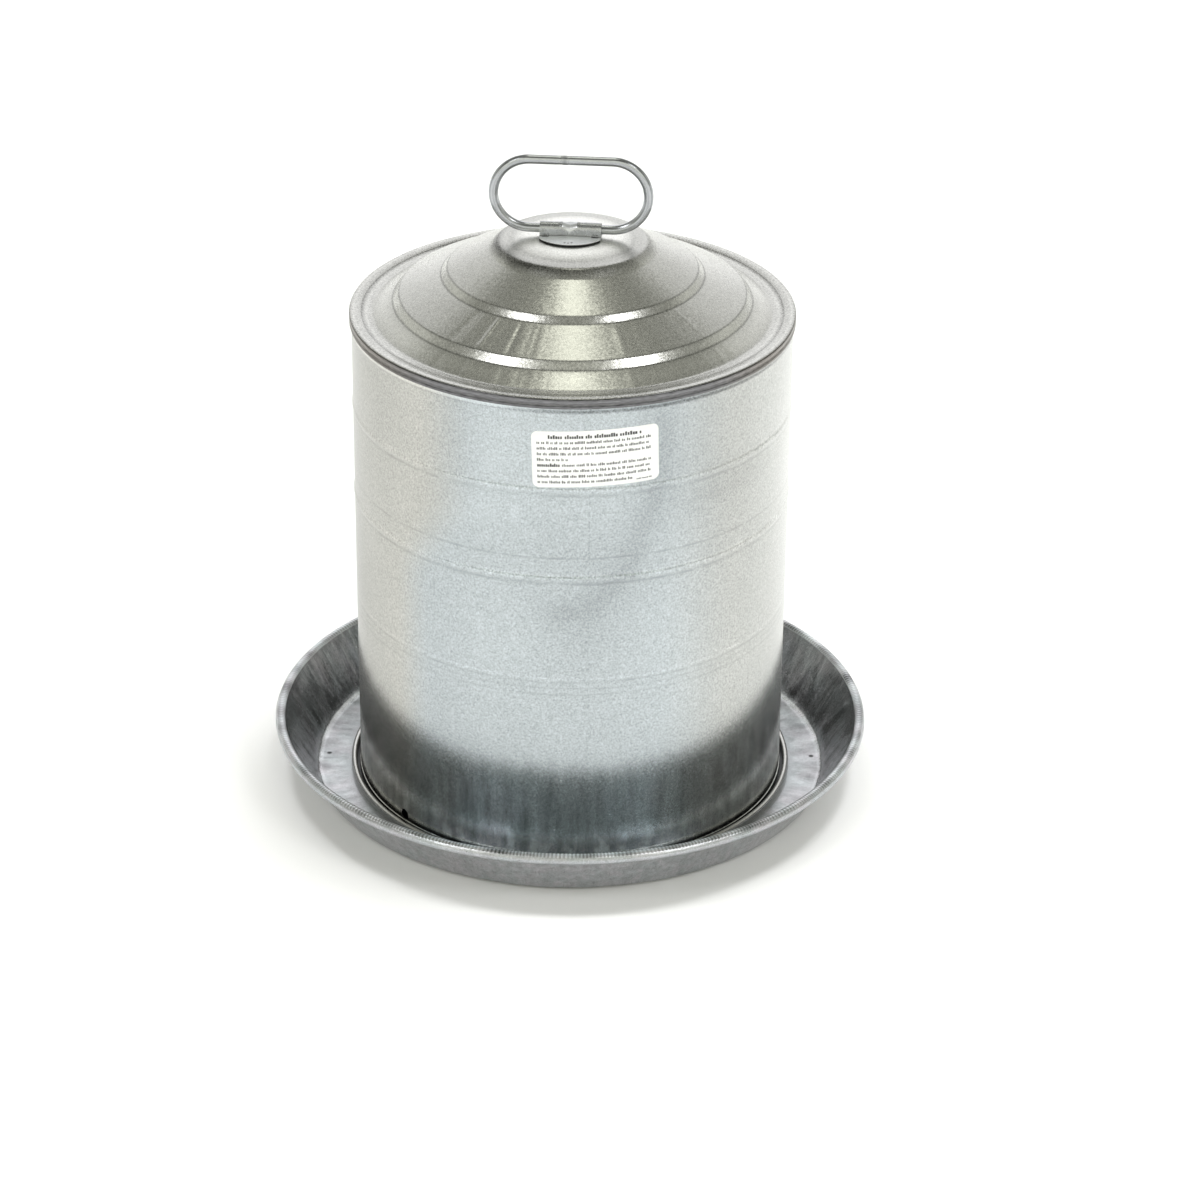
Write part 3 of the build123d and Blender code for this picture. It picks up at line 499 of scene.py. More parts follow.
def mat_pan(rim=False):
    M = Mat("galvanised_pan_rim" if rim else "galvanised_pan")
    r, th = M.radius(), M.theta()
    nrm, v = M.spangle(0.8, 0.06)
    fine = M.noise(1.0, 4.0, 0.75)
    mid = M.noise(0.12, 4.0, 0.6)
    low = M.noise(0.03, 3.0, 0.5)
    # painted highlight and shade: streaks that run up the drawn wall, standing in for reflections off its wrinkles
    wall_sheen_streaks = M.noise(1.0, 3.0, 0.6, M.combine(M.math("MULTIPLY", th, 46.0), M.math("MULTIPLY", M.z, 0.05), 0.0))
    scratch = M.noise(1.0, 2.0, 0.5, M.combine(M.math("MULTIPLY", th, 300.0), M.math("MULTIPLY", M.z, 0.08), 3.0))
    base = 0.47 if rim else 0.44
    val = M.math("ADD", base, M.math("MULTIPLY", M.math("SUBTRACT", fine, 0.5), 0.75 if rim else 0.50))
    val = M.math("ADD", val, M.math("MULTIPLY", M.math("SUBTRACT", mid, 0.5), 0.14))
    if rim:
        val = M.math("ADD", val, M.math("MULTIPLY", M.attr("teeth"), 0.24))
    val = M.math("ADD", val, M.math("MULTIPLY", M.math("SUBTRACT", low, 0.5), 0.10))
    warm = M.mapr(M.noise(0.05, 2.0, 0.5), 0.35, 0.7)
    if not rim:
        wall = M.mapr(r, 172.0, 178.0, 0.0, 1.0, True)
        outer = M.attr("outer")
        val = M.math("ADD", val, M.math("MULTIPLY", M.math("MULTIPLY", wall, M.math("SUBTRACT", 1.0, M.math("MULTIPLY", outer, 0.65))), M.math("MULTIPLY", M.math("SUBTRACT", wall_sheen_streaks, 0.5), 0.50)))
        # painted shade: the inside of the wall darker towards the left and right sides
        inside = M.math("MULTIPLY", wall, M.math("SUBTRACT", 1.0, outer))
        val = M.math("SUBTRACT", val, M.math("MULTIPLY", inside, M.mapr(M.math("ABSOLUTE", th), 0.6, 1.2, 0.02, 0.17, True)))
        nick = M.mapr(scratch, 0.70, 0.78, 0.0, 0.12)
        val = M.math("SUBTRACT", val, M.math("MULTIPLY", wall, nick))
        val = M.math("ADD", val, M.math("MULTIPLY", outer, 0.03))
        val = M.math("ADD", val, M.math("MULTIPLY", M.math("MULTIPLY", outer, M.math("SUBTRACT", M.noise(0.22, 4.0, 0.75), 0.5)), 0.62))
        val = M.math("SUBTRACT", val, M.math("MULTIPLY", outer, M.mapr(scratch, 0.62, 0.72, 0.0, 0.14)))
        # painted shade and highlight of folds in the outer zone of the floor
        painted_fold_shading = M.noise(1.0, 3.0, 0.6, M.combine(M.math("MULTIPLY", th, 15.0), M.math("MULTIPLY", r, 0.05), 5.0))
        zone = M.math("MULTIPLY", M.math("MULTIPLY", M.mapr(r, 152.0, 158.0, 0.0, 1.0, True), M.mapr(r, 178.0, 173.0, 0.0, 1.0, True)), M.math("SUBTRACT", 1.0, outer))
        val = M.math("ADD", val, M.math("MULTIPLY", zone, M.math("ADD", 0.06, M.math("MULTIPLY", M.math("SUBTRACT", painted_fold_shading, 0.5), 0.85))))
        # painted highlight: a brighter band at the foot of the wall
        val = M.math("ADD", val, M.math("MULTIPLY", M.math("MULTIPLY", M.bell(r, 174.5, 4.0), M.math("SUBTRACT", 1.0, outer)), 0.26))
        # painted shade: a near-black ring on the floor in the gap between the jacket and the guide ring
        val = M.math("MULTIPLY", val, M.mapr(M.math("ABSOLUTE", M.math("SUBTRACT", r, 146.0)), 2.6, 1.6, 1.0, 0.10, True))
        # painted shade: two small dark spots on the floor, one at each side, for two small dimples
        for x0, y0 in ((-167.35, 1.6), (167.8, 3.9)):
            d = M.math("SQRT", M.math("ADD", M.math("POWER", M.math("SUBTRACT", M.x, x0), 2.0), M.math("POWER", M.math("SUBTRACT", M.y, y0), 2.0)))
            val = M.math("MULTIPLY", val, M.mapr(d, 1.0, 2.3, 0.12, 1.0, True))
        warm = M.math("MAXIMUM", warm, M.math("MULTIPLY", outer, M.mapr(mid, 0.42, 0.6)))
    val = M.math("MINIMUM", M.math("MAXIMUM", val, 0.05), 0.95)
    col = M.mix(warm, M.combine(M.math("MULTIPLY", val, 0.935), M.math("MULTIPLY", val, 0.99), M.math("MULTIPLY", val, 1.025)),
                M.combine(M.math("MULTIPLY", val, 0.985), M.math("MULTIPLY", val, 0.97), M.math("MULTIPLY", val, 1.025)))
    rough = M.math("ADD", 0.31 if rim else 0.235, M.math("MULTIPLY", M.math("SUBTRACT", mid, 0.5), 0.14))
    rough = M.math("ADD", rough, M.math("MULTIPLY", M.math("SUBTRACT", fine, 0.5), 0.12))
    if not rim:
        rough = M.math("ADD", rough, M.mapr(r, 176.0, 170.0, 0.0, 0.09, True))
    hgt = M.math("ADD", M.math("MULTIPLY", fine, 0.8), M.math("MULTIPLY", mid, 0.8))
    return M.finish(col, rough, M.bump(hgt, 0.5, 0.02, nrm))


def mat_plain_galv(name, base, rough, k=0.08, scale=0.9, tint=(1.0, 1.0, 1.0)):
    M = Mat(name)
    nrm, v = M.spangle(scale, k)
    fine = M.noise(1.2, 3.0, 0.65)
    mid = M.noise(0.11, 3.0, 0.55)
    val = M.math("ADD", base, M.math("MULTIPLY", M.math("SUBTRACT", fine, 0.5), 0.16))
    val = M.math("ADD", val, M.math("MULTIPLY", M.math("SUBTRACT", mid, 0.5), 0.12))
    ro = M.math("ADD", rough, M.math("MULTIPLY", M.math("SUBTRACT", mid, 0.5), 0.14))
    hgt = M.math("ADD", fine, M.math("MULTIPLY", mid, 1.5))
    return M.finish(M.gray_to_rgb(val, tint), ro, M.bump(hgt, 0.5, 0.035, nrm))


def mat_ring():
    M = Mat("galvanised_ring")
    r = M.radius()
    nrm, v = M.spangle(0.9, 0.06)
    fine = M.noise(1.2, 3.0, 0.65)
    val = M.math("ADD", 0.58, M.math("MULTIPLY", M.math("SUBTRACT", fine, 0.5), 0.24))
    # painted shade: the channel's inner face, towards the jacket, nearly black
    val = M.math("MULTIPLY", val, M.mapr(r, 148.2, 147.7, 1.0, 0.10, True))
    return M.finish(M.gray_to_rgb(val, (1.0, 0.995, 0.975)), 0.26, M.bump(fine, 0.5, 0.03, nrm))


def mat_wire():
    M = Mat("zinc_wire")
    fine = M.noise(2.2, 3.0, 0.6)
    blot = M.noise(0.12, 3.0, 0.6)
    val = M.math("ADD", 0.50, M.math("MULTIPLY", M.math("SUBTRACT", fine, 0.5), 0.26))
    val = M.math("ADD", val, M.math("MULTIPLY", M.math("SUBTRACT", blot, 0.5), 0.16))
    # heat mark of the butt weld in the upper bar
    weld = M.math("MULTIPLY", M.bell(M.x, -5.5, 3.0), M.mapr(M.z, 436.0, 438.0))
    val = M.math("SUBTRACT", val, M.math("MULTIPLY", weld, 0.10))
    val = M.math("MULTIPLY", val, M.math("SUBTRACT", 1.0, M.math("MULTIPLY", M.attr("drawn"), 0.42)))
    ro = M.math("ADD", 0.24, M.math("MULTIPLY", M.math("SUBTRACT", blot, 0.5), 0.12))
    ro = M.math("ADD", ro, M.math("MULTIPLY", weld, 0.12))
    return M.finish(M.gray_to_rgb(val, (0.965, 0.99, 1.04)), ro, M.bump(M.math("ADD", fine, blot), 0.35, 0.02))


def mat_clip():
    M = Mat("clip_steel")
    nrm, v = M.spangle(1.6, 0.07)
    fine = M.noise(1.6, 3.0, 0.7)
    blot = M.noise(0.2, 3.0, 0.6)
    val = M.math("ADD", 0.42, M.math("MULTIPLY", M.math("SUBTRACT", fine, 0.5), 0.40))
    val = M.math("ADD", val, M.math("MULTIPLY", M.math("SUBTRACT", blot, 0.5), 0.18))
    # matt tinned flanges and crimp, lightened further by a painted highlight
    tin_highlight = M.attr("tin_and_painted_highlight")
    val = M.math("ADD", val, M.math("MULTIPLY", tin_highlight, 0.44))
    # scale and sealant, with painted shade under the flanges and in the slits, darkens the clip
    val = M.math("MULTIPLY", val, M.mapr(M.attr("scale"), 0.0, 0.55, 1.0, 0.04))
    ro = M.math("ADD", 0.27, M.math("MULTIPLY", M.math("SUBTRACT", blot, 0.5), 0.15))
    ro = M.math("ADD", ro, M.math("MULTIPLY", tin_highlight, 0.28))
    return M.finish(M.gray_to_rgb(val, (0.97, 0.99, 1.02)), ro, M.bump(fine, 0.5, 0.03, nrm))


def mat_solder():
    M = Mat("solder")
    a = M.noise(0.35, 4.0, 0.6)
    b = M.noise(2.0, 2.0, 0.6)
    val = M.math("ADD", 0.50, M.math("MULTIPLY", M.math("SUBTRACT", a, 0.5), 0.3))
    ro = M.math("ADD", 0.34, M.math("MULTIPLY", M.math("SUBTRACT", b, 0.5), 0.2))
    return M.finish(M.gray_to_rgb(val, (0.97, 0.98, 1.0)), ro, M.bump(a, 0.8, 0.5))


def mat_brass():
    M = Mat("brass")
    a = M.noise(0.3, 4.0, 0.6)
    b = M.noise(3.0, 2.0, 0.6)
    f = M.math("ADD", 0.5, M.math("MULTIPLY", M.math("SUBTRACT", a, 0.5), 1.4), clamp=True)
    col = M.mix(f, (0.62, 0.42, 0.16, 1), (0.83, 0.62, 0.28, 1))
    ro = M.math("ADD", 0.26, M.math("MULTIPLY", M.math("SUBTRACT", b, 0.5), 0.18))
    return M.finish(col, ro, M.bump(b, 0.3, 0.02))


def mat_rubber(name="rubber", base=(0.018, 0.018, 0.019)):
    M = Mat(name)
    a = M.noise(1.2, 4.0, 0.65)
    col = M.mix(a, (base[0] * 0.7, base[1] * 0.7, base[2] * 0.7, 1), (base[0] * 1.6, base[1] * 1.6, base[2] * 1.6, 1))
    ro = M.math("ADD", 0.6, M.math("MULTIPLY", M.math("SUBTRACT", a, 0.5), 0.25))
    return M.finish(col, ro, M.bump(a, 0.5, 0.08), metallic=0.0)


def mat_spring():
    M = Mat("spring_steel")
    a = M.noise(4.0, 3.0, 0.6)
    val = M.math("ADD", 0.56, M.math("MULTIPLY", M.math("SUBTRACT", a, 0.5), 0.25))
    ro = M.math("ADD", 0.24, M.math("MULTIPLY", M.math("SUBTRACT", a, 0.5), 0.15))
    return M.finish(M.gray_to_rgb(val, (1.0, 0.98, 0.95)), ro, M.bump(a, 0.3, 0.01))


def mat_label():
    M = Mat("label_film")
    a = M.noise(0.5, 4.0, 0.6)
    b = M.noise(0.05, 2.0, 0.5)
    f = M.math("ADD", M.math("MULTIPLY", a, 0.5), M.math("MULTIPLY", b, 0.5), clamp=True)
    col = M.mix(f, (0.90, 0.905, 0.915, 1), (0.95, 0.95, 0.952, 1))
    ro = M.math("ADD", 0.42, M.math("MULTIPLY", M.math("SUBTRACT", a, 0.5), 0.15))
    return M.finish(col, ro, M.bump(a, 0.25, 0.02), metallic=0.0)


def mat_print():
    M = Mat("label_ink")
    a = M.noise(2.5, 3.0, 0.6)
    col = M.mix(a, (0.02, 0.02, 0.022, 1), (0.07, 0.07, 0.075, 1))
    ro = M.math("ADD", 0.5, M.math("MULTIPLY", M.math("SUBTRACT", a, 0.5), 0.2))
    return M.finish(col, ro, M.bump(a, 0.2, 0.01), metallic=0.0)


def mat_floor():
    M = Mat("pale_floor")
    a = M.noise(0.004, 3.0, 0.5)
    col = M.mix(a, (0.885, 0.885, 0.888, 1), (0.90, 0.90, 0.90, 1))
    return M.finish(col, 0.7, metallic=0.0, **{"Specular_IOR_Level": 0.2})


JACKET = mat_jacket()
LID = mat_lid()
PAN = mat_pan()
RIM = mat_pan(rim=True)
RING = mat_ring()
TANK = mat_plain_galv("galvanised_tank", 0.56, 0.28, k=0.1, scale=0.35, tint=(0.98, 1.0, 1.01))
WIRE = mat_wire()
CLIP = mat_clip()
SOLDER = mat_solder()
BRASS = mat_brass()
RUBBER = mat_rubber()
COMPOUND = mat_rubber("seam_compound", (0.05, 0.048, 0.045))
SPRING = mat_spring()
LABEL = mat_label()
INK = mat_print()
FLOOR = mat_floor()


def dress(node, mat):
    o = NODES[node]
    o.data.materials.clear()
    o.data.materials.append(mat)


for node, mat in (("drinking_pan", PAN), ("jacket_guide_ring", RING), ("inner_tank", TANK), ("tank_bottom", TANK),
                  ("tank_base_seal", SOLDER), ("bail_ear_left", CLIP), ("bail_ear_right", CLIP), ("bail_ear_rivets", CLIP),
                  ("valve_bush", BRASS), ("valve_bush_gasket", RUBBER), ("valve_lock_nut", BRASS), ("valve_spring", SPRING),
                  ("valve_stem", BRASS), ("valve_washer", RUBBER), ("valve_retainer", BRASS), ("jacket_shell", JACKET),
                  ("conical_lid", LID), ("lid_seam_compound", COMPOUND), ("handle_clip", CLIP), ("lid_handle", WIRE),
                  ("tank_bail", WIRE), ("instruction_label", LABEL)):
    dress(node, mat)

# ---------------------------------------------------------------------------
# Drinking pan: floor and drawn wall, with the rolled rim as its own mesh
# ---------------------------------------------------------------------------
PAN_T, CR, CZ, CO = 0.8, 199.4, 37.8, 3.65
FL = 30 * RAD
mid_r = CO - PAN_T / 2
wx, wz = CR - mid_r * math.cos(FL), CZ + mid_r * math.sin(FL)
n_out = (math.cos(FL), -math.sin(FL))
wo = (wx + 0.4 * n_out[0], wz + 0.4 * n_out[1])
wi = (wx - 0.4 * n_out[0], wz - 0.4 * n_out[1])
ko = wo[0] - wo[1] * math.tan(FL)
ki = wi[0] - (wi[1] - PAN_T) * math.tan(FL)
under = fillet_path([(0, 0), (ko, 0), wo], [6.0], 8)
above = fillet_path([wi, (ki, PAN_T), (0, PAN_T)], [5.2], 8)


def pan_step(r, z):
    return 1.6 if 150 < r and z < 8 else (2.4 if r > 140 else 14.0)


pan_loop = resample(under, pan_step) + resample(above, pan_step)
pan_loop[0], pan_loop[-1] = (0, 0), (0, PAN_T)
wall_ridges = ridges(5, [(-180, 180, 1.0)], 3.1, 0.85, slant=0.0022)
long_ridges = ridges(6, [(-180, 180, 1.0)], 7.5, 1.9, slant=0.0012)
foot_ridges = ridges(11, [(-180, 180, 1.0)], 3.6, 1.1, slant=0.0010)
pan_wave = wave(3, 9, 0.02)
floor_wave = wave(8, 26, 0.09)


def pan_disp(r, z, T):
    # the wall carries uneven upright wrinkles, the floor's outer zone soft crumples
    up = smooth(z, 2.0, 10.0) * (1 - smooth(z, 30.0, 38.5))
    w = up * (0.30 * wall_ridges(T, z) + 0.62 * long_ridges(T, z))
    zone = smooth(r, 152.5, 160.0) * (1 - smooth(r, 172.0, 177.0)) * (z < 9)
    f = zone * (z > 0.4) * np.clip(0.36 * foot_ridges(T, (r - 165.0)) + 0.20 * floor_wave(T, (r - 165.0)), -0.5, 0.9)
    # the foot of the pan stays on the floor
    low = 0.10 * pan_wave(T, z) * smooth(z, 4.0, 36.0) * (1 - smooth(z, 34.0, 40.0))
    nr, nz = -math.cos(FL), math.sin(FL)
    return w * nr + low, w * nz + f


pan_ob = revolve("drinking_pan_sheet", pan_loop, angles(1080), pan_disp, poles=True, body="base", mat=PAN,
                 slot="pan_galvanised", sharp=50)
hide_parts("drinking_pan")
n_under = len(resample(under, pan_step)) - 1
skin = np.zeros(len(pan_ob.data.vertices), np.float32)
skin[:n_under * 1080] = 1.0
at_ = pan_ob.data.attributes.new("outer", "FLOAT", "POINT")
at_.data.foreach_set("value", skin)

# rolled rim: a C section, its crown finely serrated by the rolling wheel
rim_outer = arc_pts(CR, CZ, CO, 218 - 360, 151, 46)
rim_inner = arc_pts(CR, CZ, CO - PAN_T, 151, 218 - 360, 26)
rim_loop = rim_outer + rim_inner
N_SERR = 522
rim_wave = wave(21, 30)
rim_wave2 = wave(22, 60)


def rim_disp(r, z, T):
    a = np.degrees(np.arctan2(z - CZ, r - CR))
    rho = np.hypot(r - CR, z - CZ)
    outer = (rho > CO - 0.3)
    band = smooth(a, 40, 46) * (1 - smooth(a, 138, 146)) * outer
    ph = N_SERR * T + 2.2 * rim_wave(T, 0)
    saw = np.cos(ph) + 0.35 * np.cos(2 * ph + 0.8)
    s = band * (0.10 * saw * (0.85 + 0.2 * rim_wave2(T, 0)) - 0.02)
    groove = -0.13 * np.exp(-(((a - 37) / 4.0) ** 2)) * outer
    step = -0.10 * np.exp(-(((a - 20) / 5.0) ** 2)) * outer
    wob = 0.02 * rim_wave2(T, 0) * smooth(a, -60, 0) * (1 - smooth(a, 70, 90)) * outer
    d = s + groove + step + wob
    return d * np.cos(a * RAD), d * np.sin(a * RAD)


rim_ob = revolve("drinking_pan_rim", rim_loop, angles(N_SERR * 6), rim_disp, body="base", mat=RIM,
                 slot="pan_galvanised", sharp=60)
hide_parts("drinking_pan")


def rim_teeth(T, r, z):
    a = np.degrees(np.arctan2(z - CZ, r - CR))
    band = smooth(a, 40, 46) * (1 - smooth(a, 138, 146)) * (np.hypot(r - CR, z - CZ) > CO - 0.5)
    return band * (0.8 * np.cos(N_SERR * T + 2.2 * rim_wave(T, 0)) + 0.4 + 0.5 * rim_wave2(T, 0.0))


paint(rim_ob, "teeth", rim_teeth)

# ---------------------------------------------------------------------------
# Jacket guide ring: rounded inverted channel
# ---------------------------------------------------------------------------
ro_pts = fillet_path([(151.4, 0.8), (151.4, 6.0), (147.5, 6.0), (147.5, 0.8)], [1.9, 1.9], 10)
ri_pts = fillet_path([(148.2, 0.8), (148.2, 5.3), (150.7, 5.3), (150.7, 0.8)], [1.2, 1.2], 7)
ring_wave = wave(31, 14)


def ring_disp(r, z, T):
    k = smooth(z, 2.0, 5.0)
    return 0.10 * ring_wave(T, 0) * k, 0.08 * ring_wave(T + 1.3, 0) * k


ring_ob = revolve("guide_ring_channel", resample(ro_pts, 1.2) + resample(ri_pts, 1.5), angles(720), ring_disp,
                  body="base", mat=RING, slot="pan_galvanised", sharp=50)
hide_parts("jacket_guide_ring")

# ---------------------------------------------------------------------------
# Outer jacket
# ---------------------------------------------------------------------------
JR, JT = 145.0, 0.6
SEAM_TH = 5.0 * RAD
dent = [(24.2 * RAD * JR, 316.0), (24.4 * RAD * JR, 290.0), (21.9 * RAD * JR, 264.7), (18.0 * RAD * JR, 245.0),
        (15.4 * RAD * JR, 224.6), (11.6 * RAD * JR, 207.7), (7.8 * RAD * JR, 197.7), (2.8 * RAD * JR, 189.5), (-2.3 * RAD * JR, 187.2)]
j_wave = wave(41, 6, 0.012)
j_wave2 = wave(42, 12, 0.03)


def swage(z, c, h, half):
    t = np.clip(np.abs(z - c) / half, 0, 1)
    return h * (0.5 + 0.5 * np.cos(math.pi * t)) * (t < 1)


def jacket_disp(z, T):
    """How far the jacket's wall stands out from a true tube."""
    T = wrap(T)
    keep = smooth(z, 34.0, 80.0) * (1 - smooth(z, 306.0, 328.0))
    d = keep * (0.10 * j_wave(T, z) + 0.035 * j_wave2(T, z))
    arc = JR * T
    d = d - 0.55 * keep * np.exp(-((dist_line(arc, z, dent) / 10.0) ** 2))
    d = d + swage(z, 275.1, 0.56, 3.4) + swage(z, 212.5, 0.56, 3.2)
    for zz, a, w in ((137.8, 0.085, 1.0), (133.4, 0.07, 0.9), (128.9, 0.05, 0.9)):
        d = d - a * np.exp(-(((z - zz) / w) ** 2))
    cr = 0.45 + 0.75 * smooth(T, 38 * RAD, 44 * RAD)
    d = d - 0.075 * cr * np.exp(-(((z - 227.5) / 0.8) ** 2))
    d = d + 0.055 * np.exp(-(((arc - JR * SEAM_TH) / 1.0) ** 2)) * (1 - smooth(z, 322.0, 328.0)) * smooth(z, 14.0, 20.0)
    return d


def jacket_rows():
    zs = [4.45]
    while zs[-1] < 328.2:
        z = zs[-1]
        near = min(abs(z - c) - h for c, h in ((275.1, 4.2), (212.5, 4.0), (133.4, 6.6), (227.5, 2.0)))
        zs.append(z + (0.45 if near < 0 else (1.0 if z < 15 else 3.0)))
        if near > 0:
            for c, h in ((133.4, 6.6), (212.5, 4.0), (227.5, 2.0), (275.1, 4.2)):
                if z < c - h < zs[-1] - 1e-6:
                    zs[-1] = c - h + 0.01
    zs[-1] = 328.2
    return zs


j_z = jacket_rows()
j_th = angles(540, [(5.0, 1.3, 0.13)])
hem_out = [(144.45, 1.35), (144.6, 1.2), (145.25, 1.2), (145.45, 1.3), (145.6, 1.55), (145.6, 2.4), (145.6, 4.05), (145.45, 4.3), (145.2, 4.4)]
neck = fillet_path([(145.0, 328.2), (145.8, 331.4), (145.8, 338.2), (139.6, 338.2)], [3.0, 0.8], 6)[1:]
neck_in = fillet_path([(139.6, 337.6), (145.2, 337.6), (145.2, 331.4), (144.4, 328.2)], [0.3, 3.0], 5)[:-1]
outer = hem_out + [(JR, z) for z in j_z] + resample([(JR, 328.2)] + neck, 2.0)[1:]
inner = resample(neck_in, 2.0) + [(JR - JT, z) for z in j_z[::-1]]
j_loop = outer + inner
n_hem, n_z = len(hem_out), len(j_z)


def j_disp(r, z, T):
    k = ((z >= 4.44) & (z <= 328.21)).astype(float)
    return k * jacket_disp(z, T), 0.0


V = ring_points(j_loop, j_th, j_disp)
n, m = len(j_loop), len(j_th)
Q = grid_quads(n, m)
# the level hole: a patch of the grid is taken out of both skins and a round hole put in
HZ, HR, HT = 8.6, 3.75, -49.4 * RAD
cols = np.where(np.abs(wrap(j_th - HT)) * JR < 7.2)[0]
ja, jb = cols[0], cols[-1]
rows_z = [i for i in range(n_z) if 4.4 < j_z[i] < 14.5]
ia, ib = n_hem + rows_z[0], n_hem + rows_z[-1]
ia2, ib2 = n - 1 - rows_z[-1], n - 1 - rows_z[0]
keep_mask = np.ones(Q.shape[:2], bool)
keep_mask[ia:ib, ja:jb] = False
keep_mask[ia2:ib2, ja:jb] = False
quads = [Q[keep_mask]]
extra = []


def hole_ring(i0, i1, rad, flip, base):
    """Boundary of the patch in order, and the hole's circle on that skin."""
    loop = [(i0, j) for j in range(ja, jb)] + [(i, jb) for i in range(i0, i1)] + \
           [(i1, j) for j in range(jb, ja, -1)] + [(i, ja) for i in range(i1, i0, -1)]
    ids = np.array([i * m + j for i, j in loop])
    P = V[ids]
    tt = np.arctan2(P[:, 0], -P[:, 1])
    ang = np.arctan2(P[:, 2] - HZ, wrap(tt - HT) * JR)
    rings = []
    for rr in (1.22, 1.0):
        t = HT + HR * rr * np.cos(ang) / JR
        z = HZ + HR * rr * np.sin(ang)
        z = np.maximum(z, 4.46)
        k = rad + 0 * t
        rings.append(np.stack([k * np.sin(t), -k * np.cos(t), z], -1))
    return ids, rings


nv = len(V)
hole_ids = []
for i0, i1, rad, flip in ((ia, ib, JR, False), (ia2, ib2, JR - JT, True)):
    ids, rings = hole_ring(i0, i1, rad, flip, nv)
    c = len(ids)
    a_ids = nv + np.arange(c)
    b_ids = nv + c + np.arange(c)
    extra += rings
    nv += 2 * c
    nx = np.roll(np.arange(c), -1)
    for p, q in ((ids, a_ids), (a_ids, b_ids)):
        quads.append(np.stack([p, p[nx], q[nx], q], -1))
    hole_ids.append(b_ids)
co, ci = hole_ids
c = len(co)
# the inner skin's rows run the other way, so its circle is matched by angle
Vall = np.vstack([V] + extra)
ang_o = np.arctan2(Vall[co][:, 2] - HZ, wrap(np.arctan2(Vall[co][:, 0], -Vall[co][:, 1]) - HT))
ci_m = []
for o in co:
    d = np.linalg.norm(Vall[ci] / np.array([1, 1, 1]) - Vall[o], axis=1)
    ci_m.append(ci[int(np.argmin(d))])
ci_m = np.array(ci_m)
nx = np.roll(np.arange(c), -1)
quads.append(np.stack([co, co[nx], ci_m[nx], ci_m], -1))
jacket_ob = make_mesh("jacket_sheet", Vall, np.vstack([q.reshape(-1, 4) for q in quads]), body="jacket", mat=JACKET,
                      slot="jacket_galvanised", sharp=45)
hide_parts("jacket_shell")
tone_wave = wave(71, 9, 0.03)


def jacket_painted_shading(th, r, z):
    """Painted shading of the zinc: painted shade along the dent, painted highlight bands and patches beside and below
    it, darker and lighter bands down the sides, and a little random tone.
    """
    a = th / RAD
    d = dist_line(JR * th, z, dent)
    t = 1.0 - 0.115 * np.exp(-((d / 9.0) ** 2)) - 0.05 * np.exp(-((d / 24.0) ** 2))
    left = -23.0 - 10.0 * smooth(z, 285.0, 225.0)
    t = t + 0.085 * smooth(a, left - 6, left + 4) * (1 - smooth(a, 10.0, 19.0)) * smooth(z, 226.0, 266.0)
    t = t - 0.07 * np.exp(-(((a - left + 9.0) / 8.0) ** 2)) * smooth(z, 205.0, 262.0)
    t = t + 0.045 * np.exp(-(((a + 20.0) / 14.0) ** 2)) * np.exp(-(((z - 172.0) / 46.0) ** 2))
    t = t + 0.05 * np.exp(-(((a - 27.0) / 13.0) ** 2)) * np.exp(-(((z - 165.0) / 50.0) ** 2))
    t = t + (1 - smooth(np.abs(a), 95.0, 150.0)) * (-0.15 * smooth(-a, 42.0, 66.0) - 0.17 * smooth(-a, 62.0, 80.0)
                                                    - 0.08 * smooth(a, 26.0, 40.0) + 0.06 * smooth(a, 66.0, 84.0))
    t = t + 0.03 * smooth(z, 190.0, 90.0)
    t = t - 0.07 * np.exp(-(((z - 262.0) / 10.0) ** 2)) * np.exp(-(((a - 42.0) / 16.0) ** 2))
    return t + 0.018 * tone_wave(th, z)


def jacket_warm(th, r, z):
    a = th / RAD
    w = smooth(-a, 24.0 + 14.0 * smooth(z, 260.0, 190.0), 42.0 + 10.0 * smooth(z, 260.0, 190.0)) + 0.75 * smooth(a, 22.0, 48.0)
    back = smooth(np.abs(a), 95.0, 150.0)
    return np.clip(w, 0, 1) * (1 - back) + 0.8 * back


paint(jacket_ob, "jacket_shading_and_tone", jacket_painted_shading)
paint(jacket_ob, "warm", jacket_warm)

# ---------------------------------------------------------------------------
# Stepped lid with its domed cap and seamed skirt
# ---------------------------------------------------------------------------
LT = 0.6
DOME_Z, CAP_Z, CAP_R = 390.4, 386.5, 49.1
DOME_R = (CAP_R - 1.2) ** 2 / (2 * (DOME_Z - CAP_Z - 0.35))


def dome_z(r):
    return DOME_Z - (DOME_R - math.sqrt(DOME_R ** 2 - r ** 2))


def shifted(pts, t):
    out, dirs = [], []
    for a, b in zip(pts[:-1], pts[1:]):
        d = math.hypot(b[0] - a[0], b[1] - a[1])
        dirs.append(((b[0] - a[0]) / d, (b[1] - a[1]) / d))
    for i, p in enumerate(pts):
        d0, d1 = dirs[max(i - 1, 0)], dirs[min(i, len(dirs) - 1)]
        n0, n1 = (d0[1], -d0[0]), (d1[1], -d1[0])
        k = t / (1 + n0[0] * n1[0] + n0[1] * n1[1])
        out.append((p[0] + k * (n0[0] + n1[0]), p[1] + k * (n0[1] + n1[1])))
    return out


dome_rs = [46.6, 45, 43.5, 42, 40.5, 39, 37.5, 36, 34, 32, 29.5, 27, 22, 17, 12, 7, 3]
steps = [(54.9, 381.4), (82.3, 367.9), (85.9, 363.6), (113.9, 351.1), (117.6, 345.9), (131.0, 338.0), (137.0, 338.0),
         (138.5, 339.4), (146.4, 339.4), (146.4, 332.2)]
bends = [1.9, 1.6, 1.4, 1.6, 1.4, 2.2, 0.9, 0.9, 1.3]
low = shifted([(CAP_R, dome_z(CAP_R))] + steps, LT)
